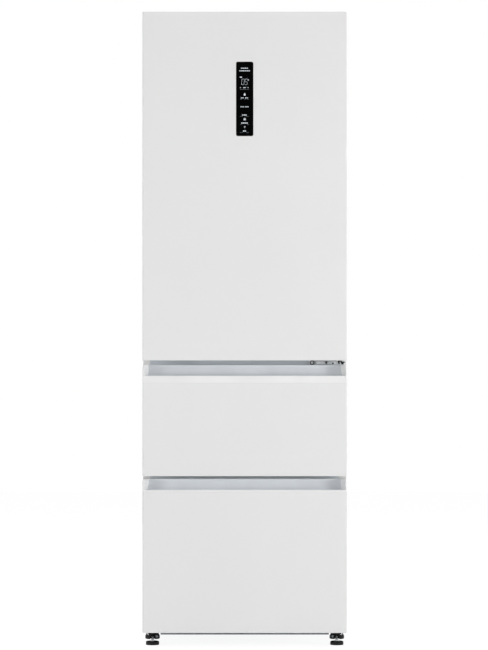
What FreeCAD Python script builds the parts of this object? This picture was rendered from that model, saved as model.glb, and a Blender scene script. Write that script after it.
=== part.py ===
"""Multi-door refrigerator: a tall right-hinged door over two freezer drawers.

Millimetres, Z up, front toward -Y, origin on the floor under the middle of the whole box.
Each node is a separate piece and is written to parts/NODE.step.
"""
import math
import os

import FreeCAD
import Part

V = FreeCAD.Vector

# How near counts as touching and how straight as parallel, where edges are picked, and how far a
# cutting shape reaches past what it cuts
NEAR = 0.01
STRAIGHT = 0.99
OVERCUT = 1.0

# Overall size
WIDTH = 595.0
HEIGHT = 1850.0
DEPTH = 667.0

# Fronts, counted from the floor up
FRONT_BOTTOM = 43.4
LOWER_FRONT = 446.6
DRAWER_GAP = 9.6
UPPER_FRONT = 322.4
DOOR_GAP = 14.0
FRONT_THICK = 62.0
FRONT_RADIUS = 4.0

# Seals between the fronts and the cabinet
SEAL_GAP = 12.0
SEAL_INSET = 16.0
SEAL_WIDTH = 14.0
SEAL_WAIST = 3.0
SEAL_TOUCH = 0.5
SEAL_MARGIN = 2.0
SEAL_FOOT_SHARE = 0.35
SEAL_HEAD_SHARE = 0.38

# Cabinet sheet and walls
SHEET = 0.8
PAN_SHEET = 1.2
LINER = 2.0
ROOF_DROP = 14.0
BASE_HEIGHT = 40.0
BASE_LIP = 8.0
BASE_LIP_GAP = 2.5
RETURN_FLANGE = 20.0
SHELL_RADIUS = 4.0
REAR_STANDOFF = 12.0
FRIDGE_WALL = 48.0
FRIDGE_ROOF_WALL = 50.0
FRIDGE_BACK_WALL = 50.0
FREEZER_WALL = 60.0
FREEZER_FLOOR_WALL = 55.0
RAIL_DEPTH = 45.0

# Machine space at the bottom rear
MACHINE_HEIGHT = 210.0
MACHINE_DEPTH = 200.0
GROMMET_HEIGHT = 12.0
TRAY_WIDTH = 210.0
TRAY_DEPTH = 150.0
TRAY_HEIGHT = 24.0
TRAY_AIR = 14.0
TRAY_WALL = 2.0
TRAY_RADIUS = 12.0
INLET_WIDTH = 50.0
INLET_HEIGHT = 30.0
INLET_DEPTH = 10.0
INLET_RISE = 34.0
INLET_WALL = 2.0
SOCKET_WIDTH = 25.0
SOCKET_HEIGHT = 18.0
BLADE_SPACING = 7.0
INLET_SHARE = 0.62
COVER_WALL = 2.0
COVER_INSET = 26.0
COVER_RISE = 10.4
COVER_RADIUS = 6.0
COVER_SEAM = 0.5
VENT_COUNT = 18
VENT_WIDTH = 5.0
VENT_MARGIN = 30.0
VENT_ROWS = ((0.14, 0.46), (0.54, 0.86))

# Door
CAP_HEIGHT = 40.0
TOP_LIP = 10.0
RECESS_CLEAR = 2.0
HINGE_FROM_FRONT = 36.0
HINGE_FROM_SEAL = 4.0
PIN_RADIUS = 5.0
PIN_PLAY = 0.05
BUSH_RADIUS = 8.0
BUSH_LENGTH = 22.0
BUSH_COLLAR = 3.0
BUSH_COLLAR_HEIGHT = 1.0
HINGE_PLATE = 4.0
HINGE_ARM_HALF = 11.0
BRACKET_INWARD = 50.0
BRACKET_OUTWARD = 12.0
BRACKET_START = 6.0
BRACKET_LENGTH = 100.0
BRACKET_EDGE = 14.0
HOOD_ROOM = 6.0
HOOD_WALL = 2.0
HOOD_RADIUS = 6.0
HOOD_SIDE_GAP = 2.0
HOOD_TOP_GAP = 0.5
FLANGE_INWARD = 90.0
FLANGE_OUTWARD = 14.0
FLANGE_THICK = 3.0
FLANGE_CLEAR = 4.0
FLANGE_RADIUS = 5.0
ARM_ROOT_INWARD = 68.0
ARM_BEND_INWARD = 36.0
ARM_ROOT_DEPTH = 12.0
FOLD_SHEET = 2.0
FOLD_HALF = 4.5
FOLD_GAP = 6.0
SHOULDER_RADIUS = 9.0
SHOULDER_GAP = 1.3
SCREW_RADIUS = 3.0
SCREW_PLAY = 0.1
SCREW_HEAD = 5.5
SCREW_HEAD_HEIGHT = 4.0
SMALL_SCREW = 2.5
SMALL_HEAD = 4.5
SMALL_HEAD_HEIGHT = 3.0
SLOT_LENGTH = 6.3
SLOT_WIDTH = 1.2
SLOT_DEPTH = 1.2
SCOOP_HEIGHT = 16.0
SCOOP_DEPTH = 30.0
SCOOP_RADIUS = 6.0
RIDGE_WIDTH = 26.0
RIDGE_DEPTH = 58.0
RIDGE_CLEAR = 10.0
RIDGE_END = 12.0
CROSS_RIDGE = 24.0
CROSS_RIDGE_HEIGHT = 14.0
CONTROL_WIDTH = 50.0
CONTROL_HEIGHT = 216.0
CONTROL_DROP = 145.5
CONTROL_GLASS = 4.0
CONTROL_CLEAR = 0.3
CONTROL_RADIUS = 5.0
CONTROL_SINK = 0.2
BOARD_DEPTH = 8.0
BOARD_SHEET = 1.6
BOARD_EDGE = 3.0
BOARD_END = 5.0
DISPLAY_WIDTH = 30.0
DISPLAY_HEIGHT = 36.0
DISPLAY_DROP = 30.0
KEY_COUNT = 4
KEY_SIZE = 12.0
KEY_DROP = 88.0
KEY_PITCH = 28.0

# Door bins
BIN_DEPTH = 100.0
BIN_CLEAR = 1.0
BIN_STAND = 3.0
BIN_WALL = 2.2
BIN_RADIUS = 14.0
BIN_LEDGE = 8.0
BIN_LIFT = 2.0
LEDGE_SETBACK = 8.0
BIN_HEIGHTS = (140.0, 100.0, 85.0)

# Fridge inside
SHELF_COUNT = 3
SHELF_GAP = 15.0
GLASS = 4.0
SHELF_CLEAR = 1.2
SHELF_RIB = 12.0
RIB_HEIGHT = 10.0
TRIM_WALL = 3.0
TRIM_GRIP = 12.0
CRISPER_ROOM = 178.0
CRISPER_CLEAR = 1.5
CRISPER_FLOAT = 0.3
CRISPER_WALL = 2.5
CRISPER_LIP = 14.0
CRISPER_RADIUS = 14.0
CRISPER_REAR = 8.0
CRISPER_HEADROOM = 6.0
CRISPER_PULL = 22.0
CRISPER_PULL_WALL = 3.0
DUCT_HALF = 120.0
DUCT_DEPTH = 28.0
DUCT_WALL = 2.5
DUCT_RADIUS = 10.0
DUCT_FOOT_ROOM = 30.0
DUCT_HEAD_ROOM = 24.0
OUTLET_ROWS = 3
OUTLET_PITCH = 14.0
OUTLET_HEIGHT = 6.0
OUTLET_INNER = 30.0
OUTLET_EDGE = 25.0
LIGHT_HALF = 110.0
LIGHT_DEPTH = 34.0
LIGHT_HEIGHT = 8.0
LIGHT_SETBACK = 4.0
LIGHT_RADIUS = 3.0

# Drawer grips
GRIP_OPENING = 31.0
GRIP_CHANNEL = 16.0
GRIP_LIP = 5.0
GRIP_DEPTH = 41.0
GRIP_BOWL = 47.0
GRIP_EDGE = 0.5
GRIP_SHEET = 2.0
GRIP_BED = 5.0
CHEEK_FRONT = 3.0
CHEEK_BACK = 17.5
LIP_TILT = 1.2
UPPER_BAND = 20.0
LOWER_BAND = 5.0
CAP_CORNER = 8.0
UPPER_CORNER = 2.5
LOWER_CORNER = 5.0

# Drawers, baskets and runners
PLUG = 30.0
PLUG_CLEAR = 12.0
RUNNER_SHEET = 1.2
RUNNER_GAP = 0.8
RUNNER_HALF = 18.0
RUNNER_REACH = 10.0
RUNNER_REAR_CLEAR = 21.0
RUNNER_SETBACK = 25.0
ARM_SHEET = 1.5
ARM_HALF = 20.0
ARM_TAB = 30.0
BASKET_GAP = 8.0
BASKET_WALL = 2.5
BASKET_RIM = 3.0
BASKET_RADIUS = 14.0
BASKET_AIR = 10.0
BASKET_FRONT_GAP = 4.0
BASKET_OVERHANG = 2.0
RIM_GAP = 0.2
RIM_SETBACK = 4.0
PLUG_TOP_ROOM = 4.0
UPPER_RUNNER_DROP = 75.0
LOWER_RUNNER_DROP = 60.0

# Cold-making pieces
EVAPORATOR_SPACE = 85.0
AIR_PANEL = 3.0
FAN_RADIUS = 50.0
FAN_DROP = 90.0
FAN_BLADES = 5
FAN_CLEAR = 4.0
FAN_SETBACK = 4.5
HUB_RADIUS = 12.0
HUB_LENGTH = 14.0
PADDLE_WIDTH = 30.0
PADDLE_ROOT = 3.0
PADDLE_THICK = 1.8
PADDLE_ANGLE = 26.0
COLLAR_CLEAR = 6.0
COLLAR_WALL = 3.0
COLLAR_DEPTH = 26.0
MOTOR_RADIUS = 20.0
MOTOR_LENGTH = 30.0
SHAFT_RADIUS = 2.5
SPOKE_COUNT = 3
SPOKE_WIDTH = 6.0
SPOKE_DEPTH = 4.0
GRILLE_BAR = 4.0
RETURN_SLOTS = 9
RETURN_SLOT_WIDTH = 28.0
RETURN_SLOT_HEIGHT = 8.0
FIN_COUNT = 20
FIN_THICK = 1.2
FIN_SIDE_ROOM = 36.0
FIN_FLOOR_ROOM = 30.0
FIN_TOP_ROOM = 24.0
FIN_FRONT_ROOM = 8.0
TUBE_ROWS = 6
TUBE_COLUMNS = 2
TUBE_RADIUS = 4.0
TUBE_OVERHANG = 8.0
CONDENSER_TUBE = 2.4
CONDENSER_RUNS = 10
CONDENSER_EDGE = 45.0
CONDENSER_ROOM = 2.0
CONDENSER_PLAY = 0.1
COMPRESSOR_SHARE = 0.4
COMPRESSOR_RADIUS = 75.0
CAN_ROUND = 25.0
CAN_DOME = 37.0
CAN_FLAT = 25.0
FOOT_PLATE = 3.0
FOOT_PLATE_HALF = 97.0
FOOT_PLATE_DEPTH = 108.0
FOOT_PLATE_RADIUS = 14.0
SEAM_REACH = 3.0
SEAM_HEIGHT = 5.0
TERMINAL_REACH = 20.0
TERMINAL_SINK = 15.0
TERMINAL_WIDTH = 44.0
TERMINAL_RISE = 40.0
STUB_LENGTH = 22.0
STUB_SINK = 22.0
STUB_RISE = 16.0
STUB_ANGLES = (35.0, 60.0, 130.0)
GROMMET_RADIUS = 9.0
GROMMET_INSET = 13.0

# Feet and rollers
FOOT_INSET = 27.0
FOOT_SETBACK = 24.0
FOOT_RADIUS = 19.5
FOOT_THICK = 11.5
FOOT_BOSS = 21.5
BOSS_BOTTOM = 18.0
BOSS_COLLAR = 9.0
BOSS_TOP = 15.0
BOSS_RADIUS = 3.0
BOSS_NOTCH = 14.0
STEM_RADIUS = 4.0
STEM_TOP_GAP = 1.0
PAD_TOP_RADIUS = 3.2
PAD_FOOT_RADIUS = 1.8
NUT_RADIUS = 7.0
NUT_HEIGHT = 3.0
ROLLER_RADIUS = 18.0
ROLLER_WIDTH = 22.0
ROLLER_INSET = 55.0
ROLLER_EDGE = 2.0
AXLE_RADIUS = 4.0
FORK_SHEET = 2.5
FORK_GAP = 1.0
FORK_HALF = 13.0
FORK_BOTTOM = 8.0
FORK_BRIDGE = 2.0

# Places that follow from the sizes above
HALF = WIDTH / 2
Y_FRONT = -DEPTH / 2
Y_BACK = DEPTH / 2
Y_SEAL = Y_FRONT + FRONT_THICK
Y_CAB = Y_SEAL + SEAL_GAP
Y_PANEL = Y_BACK - REAR_STANDOFF
X_SKIN = HALF - SHEET
X_FLANGE = HALF - RETURN_FLANGE

Z_LOWER = (FRONT_BOTTOM, FRONT_BOTTOM + LOWER_FRONT)
Z_UPPER = (Z_LOWER[1] + DRAWER_GAP, Z_LOWER[1] + DRAWER_GAP + UPPER_FRONT)
Z_DOOR = (Z_UPPER[1] + DOOR_GAP, HEIGHT)
Z_ROOF = HEIGHT - ROOF_DROP
Z_PAN = BASE_HEIGHT + PAN_SHEET
SEAL_REACH = SEAL_INSET + SEAL_WIDTH + SEAL_MARGIN

FRIDGE_HALF = HALF - FRIDGE_WALL
Z_FRIDGE = (Z_DOOR[0] + SEAL_REACH, Z_ROOF - FRIDGE_ROOF_WALL)
Y_FRIDGE_BACK = Y_PANEL - FRIDGE_BACK_WALL

FREEZER_HALF = HALF - FREEZER_WALL
Z_FREEZER = (BASE_HEIGHT + FREEZER_FLOOR_WALL, Z_UPPER[1] - SEAL_REACH)
Z_RAIL = (Z_LOWER[1] - SEAL_REACH, Z_UPPER[0] + SEAL_REACH)
Y_FREEZER_BACK = Y_PANEL - FREEZER_WALL
Y_MACHINE = Y_PANEL - MACHINE_DEPTH
Z_MACHINE = BASE_HEIGHT + MACHINE_HEIGHT
Y_STEP = Y_MACHINE - FREEZER_WALL
Z_STEP = Z_MACHINE + FREEZER_WALL

X_HINGE = HALF - SEAL_INSET - HINGE_FROM_SEAL
Y_HINGE = Y_FRONT + HINGE_FROM_FRONT
Z_GAP = (Z_UPPER[1] + Z_DOOR[0]) / 2
Z_RECESS = Z_ROOF - RECESS_CLEAR

RIDGE_OUT = FRIDGE_HALF - RIDGE_CLEAR
RIDGE_IN = RIDGE_OUT - RIDGE_WIDTH
Z_RIDGE = (Z_FRIDGE[0] + RIDGE_END, Z_FRIDGE[1] - RIDGE_END)
Y_BIN = (Y_SEAL + BIN_STAND, Y_SEAL + BIN_STAND + BIN_DEPTH)

Y_SHELF = (Y_BIN[1] + SHELF_GAP + TRIM_WALL, Y_FRIDGE_BACK - DUCT_DEPTH - 2 * TRIM_WALL)
Z_COVER = Z_FRIDGE[0] + CRISPER_ROOM
SHELF_STEP = (Z_FRIDGE[1] - Z_COVER) / (SHELF_COUNT + 1)
PANE_LEVELS = [Z_COVER + SHELF_STEP * i for i in range(SHELF_COUNT + 1)]

Y_PLUG = Y_SEAL + PLUG
Y_AIR = Y_FREEZER_BACK - EVAPORATOR_SPACE
Y_RUNNER = (Y_CAB + RUNNER_SETBACK, Y_AIR - RUNNER_REAR_CLEAR)
Z_FAN = Z_FREEZER[1] - FAN_DROP
X_WEB_INNER = FREEZER_HALF - RUNNER_REACH - 2 * RUNNER_SHEET
X_ARM = X_WEB_INNER - ARM_SHEET
BASKET_HALF = X_ARM - BASKET_GAP
UPPER_OPENING = (Z_RAIL[1], Z_FREEZER[1])
LOWER_OPENING = (Z_FREEZER[0], Z_RAIL[0])
Z_UPPER_RUNNER = UPPER_OPENING[1] - UPPER_RUNNER_DROP
Z_LOWER_RUNNER = LOWER_OPENING[1] - LOWER_RUNNER_DROP

Y_CONDENSER = (Y_CAB + CONDENSER_EDGE, Y_PANEL - CONDENSER_EDGE)
Z_CONDENSER = (Z_STEP + CONDENSER_EDGE, Z_ROOF - 3 * CONDENSER_EDGE)

X_FOOT = HALF - FOOT_INSET
Y_FOOT = Y_CAB + FOOT_SETBACK
X_ROLLER = HALF - ROLLER_INSET
Y_ROLLER = Y_PANEL - 2 * ROLLER_RADIUS
SIDES = (-1, 1)


def box(x, y, z):
    """A block between three low and high pairs."""
    size = (x[1] - x[0], y[1] - y[0], z[1] - z[0])
    return Part.makeBox(size[0], size[1], size[2], V(x[0], y[0], z[0]))


def wide(half):
    """The pair from -half to +half."""
    return (-half, half)


def sided(side, low, high):
    """A pair of X values put on the left (-1) or right (1) side, low end first."""
    return (low, high) if side > 0 else (-high, -low)


def cylinder(radius, base, axis, length):
    """A round bar from a base point along an axis."""
    return Part.makeCylinder(radius, length, V(*base), V(*axis))


def fuse(*shapes):
    """Join shapes that touch into one clean solid."""
    first = shapes[0]
    rest = list(shapes[1:])
    joined = first.multiFuse(rest) if rest else first
    return joined.removeSplitter()


def group(*shapes):
    """Keep separate solids together as one node."""
    solids = []
    for shape in shapes:
        solids.extend(shape.Solids)
    return Part.makeCompound(solids)


def prism_x(points, x):
    """A polygon of (y, z) points pulled along X."""
    wire = Part.makePolygon([V(x[0], p[0], p[1]) for p in points + points[:1]])
    return Part.Face(wire).extrude(V(x[1] - x[0], 0, 0))


def prism_z(points, z):
    """A polygon of (x, y) points pulled along Z."""
    wire = Part.makePolygon([V(p[0], p[1], z[0]) for p in points + points[:1]])
    return Part.Face(wire).extrude(V(0, 0, z[1] - z[0]))


def outline_x(runs, x):
    """A closed outline of (y, z) runs, lines of two points and arcs of three, pulled along X."""
    edges = []
    for run in runs:
        spots = [V(x[0], y, z) for y, z in run]
        edges.append(Part.makeLine(*spots) if len(spots) == 2 else Part.Arc(*spots).toShape())
    return Part.Face(Part.Wire(edges)).extrude(V(x[1] - x[0], 0, 0))


def round_edges(shape, radius, test):
    """Fillet the straight edges whose middle point and direction pass a test."""
    chosen = []
    for edge in shape.Edges:
        if edge.Curve.TypeId != "Part::GeomLine":
            continue
        if test(edge.CenterOfMass, edge.tangentAt(edge.FirstParameter)):
            chosen.append(edge)
    return shape.makeFillet(radius, chosen)


def is_upright(direction):
    """True for an edge along Z."""
    return abs(direction.z) > STRAIGHT


def runs_back(direction):
    """True for an edge along Y."""
    return abs(direction.y) > STRAIGHT


def rims(shape):
    """The round edges of a bar."""
    return [e for e in shape.Edges if e.Curve.TypeId.endswith("Circle")]


def ring(x, z, width, y):
    """A rectangular frame seen from the front, as deep as the Y pair."""
    hole_x = (x[0] + width, x[1] - width)
    hole_z = (z[0] + width, z[1] - width)
    return box(x, y, z).cut(box(hole_x, y, hole_z))


def open_tub(x, y, z, wall, radius):
    """A box open at the top with rounded upright corners."""
    outer = round_edges(box(x, y, z), radius, lambda c, d: is_upright(d))
    inner_x = (x[0] + wall, x[1] - wall)
    inner_y = (y[0] + wall, y[1] - wall)
    inner = box(inner_x, inner_y, (z[0] + wall, z[1] + wall))
    inner = round_edges(inner, radius - wall, lambda c, d: is_upright(d))
    return outer.cut(inner)


def front_block(inset, y_rear, z):
    """A full-width slab behind the front plane with rounded front corners."""
    y_face = Y_FRONT + inset
    slab = box(wide(HALF - inset), (y_face, y_rear), z)
    return round_edges(slab, FRONT_RADIUS - inset,
                       lambda c, d: is_upright(d) and abs(c.y - y_face) < NEAR)


# Cabinet

def make_outer_shell():
    """Sides and roof folded from one sheet, with the turned-in front flange."""
    y = (Y_CAB, Y_PANEL)

    def hull(inset, top):
        body = box(wide(HALF - inset), y, (BASE_HEIGHT, top))
        return round_edges(body, SHELL_RADIUS - inset,
                           lambda c, d: runs_back(d) and c.z > top - NEAR)

    wrap = hull(0.0, Z_ROOF).cut(hull(SHEET, Z_ROOF - SHEET))
    lip = hull(0.0, Z_ROOF)
    lip = lip.common(box(wide(HALF), (Y_CAB, Y_CAB + SHEET), (Z_PAN, Z_ROOF)))
    window = box(wide(X_FLANGE), (Y_CAB, Y_CAB + SHEET), (Z_PAN, Z_ROOF - RETURN_FLANGE))
    return fuse(wrap, lip.cut(window))


def make_back_panel():
    """Flat rear sheet above the machine space."""
    panel = box(wide(X_SKIN), (Y_PANEL - SHEET, Y_PANEL), (Z_MACHINE, Z_ROOF - SHEET))
    return round_edges(panel, SHELL_RADIUS - SHEET,
                       lambda c, d: runs_back(d) and c.z > Z_ROOF - SHEET - NEAR)


def make_base_pan():
    """Floor sheet with a turned-down front lip and the step that roofs the machine space."""
    rear = Y_PANEL - SHEET
    points = [
        (Y_CAB, BASE_HEIGHT), (rear, BASE_HEIGHT), (rear, Z_PAN),
        (Y_MACHINE + PAN_SHEET, Z_PAN), (Y_MACHINE + PAN_SHEET, Z_MACHINE),
        (rear, Z_MACHINE), (rear, Z_MACHINE + PAN_SHEET),
        (Y_MACHINE, Z_MACHINE + PAN_SHEET), (Y_MACHINE, Z_PAN), (Y_CAB, Z_PAN),
    ]
    pan = prism_x(points, wide(X_SKIN))
    lip = box(wide(X_FOOT - FOOT_BOSS - BASE_LIP_GAP), (Y_CAB, Y_CAB + PAN_SHEET),
              (BASE_HEIGHT - BASE_LIP, BASE_HEIGHT))
    return fuse(pan, lip)


def fridge_tub_outer():
    """Outside of the fridge liner as a full block."""
    z = (Z_FRIDGE[0] - LINER, Z_FRIDGE[1] + LINER)
    return box(wide(FRIDGE_HALF + LINER), (Y_CAB, Y_FRIDGE_BACK + LINER), z)


def make_fridge_liner():
    """Fridge tub with its front border and the ribs that carry the shelves."""
    tub = fridge_tub_outer().cut(box(wide(FRIDGE_HALF), (Y_CAB, Y_FRIDGE_BACK), Z_FRIDGE))
    border_z = (Z_FRIDGE[0] - LINER, Z_ROOF - RETURN_FLANGE)
    border = box(wide(X_FLANGE), (Y_CAB, Y_CAB + LINER), border_z)
    pieces = [tub, border.cut(fridge_tub_outer())]
    rib_y = (Y_SHELF[0] + TRIM_GRIP + TRIM_WALL, Y_SHELF[1] - TRIM_GRIP - TRIM_WALL)
    for level in PANE_LEVELS:
        for side in SIDES:
            x = sided(side, FRIDGE_HALF - SHELF_RIB, FRIDGE_HALF)
            pieces.append(box(x, rib_y, (level - RIB_HEIGHT, level)))
    return fuse(*pieces)


def freezer_section(grow):
    """Side view of the freezer tub; grow moves it outward by the liner."""
    front = Y_CAB
    return [
        (front, Z_FREEZER[0] - grow), (Y_STEP + grow, Z_FREEZER[0] - grow),
        (Y_STEP + grow, Z_STEP - grow), (Y_FREEZER_BACK + grow, Z_STEP - grow),
        (Y_FREEZER_BACK + grow, Z_FREEZER[1] + grow), (front, Z_FREEZER[1] + grow),
    ]


def freezer_tub_outer():
    """Outside of the freezer liner as a full block."""
    return prism_x(freezer_section(LINER), wide(FREEZER_HALF + LINER))


def make_freezer_liner():
    """Freezer tub with the step over the machine space and its front border."""
    tub = freezer_tub_outer().cut(prism_x(freezer_section(0.0), wide(FREEZER_HALF)))
    border = box(wide(X_FLANGE), (Y_CAB, Y_CAB + LINER), (Z_PAN, Z_FREEZER[1] + LINER))
    border = border.cut(freezer_tub_outer())
    whole = fuse(tub, border)
    notch_x = X_FLANGE - FREEZER_HALF
    for side in SIDES:
        x = sided(side, FREEZER_HALF, FREEZER_HALF + notch_x)
        whole = whole.cut(box(x, (Y_CAB, Y_CAB + LINER), Z_RAIL))
    return whole


def condenser_pitch():
    """Height between two runs of a condenser tube."""
    return (Z_CONDENSER[1] - Z_CONDENSER[0]) / (CONDENSER_RUNS - 1)


def condenser_pocket(side):
    """Room in the foam for one condenser tube behind the side wall."""
    deep = 2 * CONDENSER_TUBE + CONDENSER_ROOM / 2
    room = CONDENSER_TUBE + CONDENSER_ROOM
    y = (Y_CONDENSER[0] - room, Y_CONDENSER[1] + room)
    z = (Z_CONDENSER[0] - room, Z_CONDENSER[1] + room)
    return box(sided(side, X_SKIN - deep, X_SKIN), y, z)


def make_cabinet_foam():
    """Foam that fills the space between shell, liners, base pan and back."""
    y = (Y_CAB + LINER, Y_PANEL - SHEET)
    block = box(wide(X_SKIN), y, (Z_PAN, Z_ROOF - SHEET))
    block = round_edges(block, SHELL_RADIUS - SHEET,
                        lambda c, d: runs_back(d) and c.z > Z_ROOF - SHEET - NEAR)
    machine = box(wide(HALF), (Y_MACHINE, Y_BACK), (0, Z_MACHINE + PAN_SHEET))
    cuts = [fridge_tub_outer(), freezer_tub_outer(), machine]
    cuts.extend(condenser_pocket(side) for side in SIDES)
    return block.cut(cuts)


def make_mullion_rails():
    """Strip between fridge and freezer, and the rail between the drawers."""
    strip_z = (Z_FREEZER[1] + LINER, Z_FRIDGE[0] - LINER)
    strip = box(wide(X_FLANGE), (Y_CAB, Y_CAB + LINER), strip_z)
    face = box(wide(X_FLANGE), (Y_CAB, Y_CAB + LINER), Z_RAIL)
    beam = box(wide(FREEZER_HALF), (Y_CAB, Y_CAB + RAIL_DEPTH), Z_RAIL)
    return group(strip, fuse(face, beam))


def top_screw_places():
    """Where the top hinge is screwed to the roof."""
    x = X_HINGE - BRACKET_INWARD + BRACKET_EDGE
    near = Y_CAB + BRACKET_START + BRACKET_EDGE
    far = Y_CAB + BRACKET_START + BRACKET_LENGTH - BRACKET_EDGE
    return [(x, near), (x, far), (X_HINGE, far)]


def middle_screw_places():
    """Where the middle hinge is screwed to the mullion, as X and Z."""
    outer = X_HINGE - FLANGE_INWARD + 2 * FLANGE_RADIUS
    inner = X_HINGE - (ARM_ROOT_INWARD + HINGE_ARM_HALF) / 2
    step = HINGE_PLATE / 2 + SMALL_HEAD + SHOULDER_RADIUS / 2
    return [(outer, Z_GAP), (inner, Z_GAP - step), (inner, Z_GAP + step)]


def make_top_hinge():
    """Flat bracket on the roof with an arm and a pin pointing down."""
    z = (Z_ROOF, Z_ROOF + HINGE_PLATE)
    y = (Y_CAB + BRACKET_START, Y_CAB + BRACKET_START + BRACKET_LENGTH)
    plate = box((X_HINGE - BRACKET_INWARD, X_HINGE + BRACKET_OUTWARD), y, z)
    arm = box((X_HINGE - HINGE_ARM_HALF, X_HINGE + HINGE_ARM_HALF), (Y_HINGE, y[0] + BRACKET_EDGE), z)
    eye = cylinder(HINGE_ARM_HALF, (X_HINGE, Y_HINGE, Z_ROOF), (0, 0, 1), HINGE_PLATE)
    pin_low = Z_ROOF - BUSH_LENGTH
    pin = cylinder(PIN_RADIUS, (X_HINGE, Y_HINGE, pin_low), (0, 0, 1), BUSH_LENGTH + HINGE_PLATE)
    bracket = fuse(plate, arm, eye, pin)
    for place in top_screw_places():
        hole = cylinder(SCREW_RADIUS + SCREW_PLAY, place + (Z_ROOF,), (0, 0, 1), HINGE_PLATE)
        bracket = bracket.cut(hole)
    return bracket


def make_top_hinge_cover():
    """Plastic hood over the top hinge."""
    x = (X_HINGE - BRACKET_INWARD - HOOD_ROOM, HALF - HOOD_SIDE_GAP)
    start = Y_CAB + BRACKET_START
    y = (start - HOOD_WALL - SCREW_PLAY, start + BRACKET_LENGTH + HOOD_ROOM)
    z = (Z_ROOF, HEIGHT - HOOD_TOP_GAP)
    hood = round_edges(box(x, y, z), HOOD_RADIUS, lambda c, d: is_upright(d))
    inner = box((x[0] + HOOD_WALL, x[1] - HOOD_WALL), (y[0] + HOOD_WALL, y[1] - HOOD_WALL),
                (z[0], z[1] - HOOD_WALL))
    half = HINGE_ARM_HALF + HOOD_WALL / 2
    notch = box((X_HINGE - half, X_HINGE + half), (y[0], y[0] + HOOD_WALL),
                (z[0], z[0] + HINGE_PLATE + HOOD_TOP_GAP))
    return hood.cut(inner).cut(notch)


def make_middle_hinge():
    """Bracket on the mullion, arm in the gap with its front edge folded, shoulder and upward pin."""
    reach = DOOR_GAP / 2 + SEAL_INSET - FLANGE_CLEAR
    face = Y_CAB - FLANGE_THICK
    flange = box((X_HINGE - FLANGE_INWARD, X_HINGE + FLANGE_OUTWARD), (face, Y_CAB),
                 (Z_GAP - reach, Z_GAP + reach))
    flange = round_edges(flange, FLANGE_RADIUS, lambda c, d: runs_back(d))
    arm_z = (Z_GAP - HINGE_PLATE / 2, Z_GAP + HINGE_PLATE / 2)
    half = HINGE_ARM_HALF
    root = face - ARM_ROOT_DEPTH
    plan = [
        (X_HINGE - ARM_ROOT_INWARD, Y_CAB), (X_HINGE + half, Y_CAB), (X_HINGE + half, Y_HINGE),
        (X_HINGE - half, Y_HINGE), (X_HINGE - ARM_BEND_INWARD, root), (X_HINGE - ARM_ROOT_INWARD, root),
    ]
    arm = prism_z(plan, arm_z)
    eye = cylinder(half, (X_HINGE, Y_HINGE, arm_z[0]), (0, 0, 1), HINGE_PLATE)
    rise = Z_DOOR[0] - SHOULDER_GAP - arm_z[1]
    shoulder = cylinder(SHOULDER_RADIUS, (X_HINGE, Y_HINGE, arm_z[1]), (0, 0, 1), rise)
    pin_top = Z_DOOR[0] + BUSH_LENGTH - FLANGE_CLEAR
    pin = cylinder(PIN_RADIUS, (X_HINGE, Y_HINGE, arm_z[0]), (0, 0, 1), pin_top - arm_z[0])
    fold_z = (Z_GAP - FOLD_HALF, Z_GAP + FOLD_HALF)
    bend = V(X_HINGE - ARM_BEND_INWARD, root, 0)
    tip = V(X_HINGE - half, Y_HINGE, 0)
    near_fold = box((X_HINGE - ARM_ROOT_INWARD, bend.x - FOLD_GAP), (root, root + FOLD_SHEET), fold_z)
    run = (tip - bend).normalize()
    inward = V(-run.y, run.x, 0) * FOLD_SHEET
    far_fold = prism_z([(p.x, p.y) for p in (bend, tip, tip + inward, bend + inward)], fold_z)
    bracket = fuse(flange, arm, eye, shoulder, pin, near_fold, far_fold)
    for x, z in middle_screw_places():
        hole = cylinder(SMALL_SCREW + SCREW_PLAY, (x, face, z), (0, 1, 0), FLANGE_THICK)
        bracket = bracket.cut(hole)
    return bracket


def make_cabinet_screws():
    """Screws of both hinges: heads on the brackets, shanks in their holes."""
    solids = []
    for x, y in top_screw_places():
        seat = V(x, y, Z_ROOF + HINGE_PLATE)
        head = Part.Face(hexagon(SCREW_HEAD, seat)).extrude(V(0, 0, SCREW_HEAD_HEIGHT))
        shank = cylinder(SCREW_RADIUS, (x, y, Z_ROOF), (0, 0, 1), HINGE_PLATE)
        solids.append(fuse(head, shank))
    face = Y_CAB - FLANGE_THICK
    top = face - SMALL_HEAD_HEIGHT
    for x, z in middle_screw_places():
        head = cylinder(SMALL_HEAD, (x, face, z), (0, -1, 0), SMALL_HEAD_HEIGHT)
        rim = [e for e in head.Edges if e.CenterOfMass.y < top + NEAR]
        head = head.makeFillet(SLOT_DEPTH, rim)
        shank = cylinder(SMALL_SCREW, (x, face, z), (0, 1, 0), FLANGE_THICK)
        slot = box((x - SLOT_LENGTH / 2, x + SLOT_LENGTH / 2), (top, top + SLOT_DEPTH),
                   (z - SLOT_WIDTH / 2, z + SLOT_WIDTH / 2))
        solids.append(fuse(head, shank).cut(slot))
    return group(*solids)


def hexagon(radius, centre):
    """A flat hexagon wire around a centre."""
    points = []
    for i in range(7):
        angle = math.radians(60 * i)
        points.append(centre + V(radius * math.cos(angle), radius * math.sin(angle), 0))
    return Part.makePolygon(points)


def make_glass_shelves():
    """Three shelf panes and the pane over the crisper."""
    panes = []
    for level in PANE_LEVELS:
        panes.append(box(wide(FRIDGE_HALF - SHELF_CLEAR), Y_SHELF, (level, level + GLASS)))
    return group(*panes)


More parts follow.
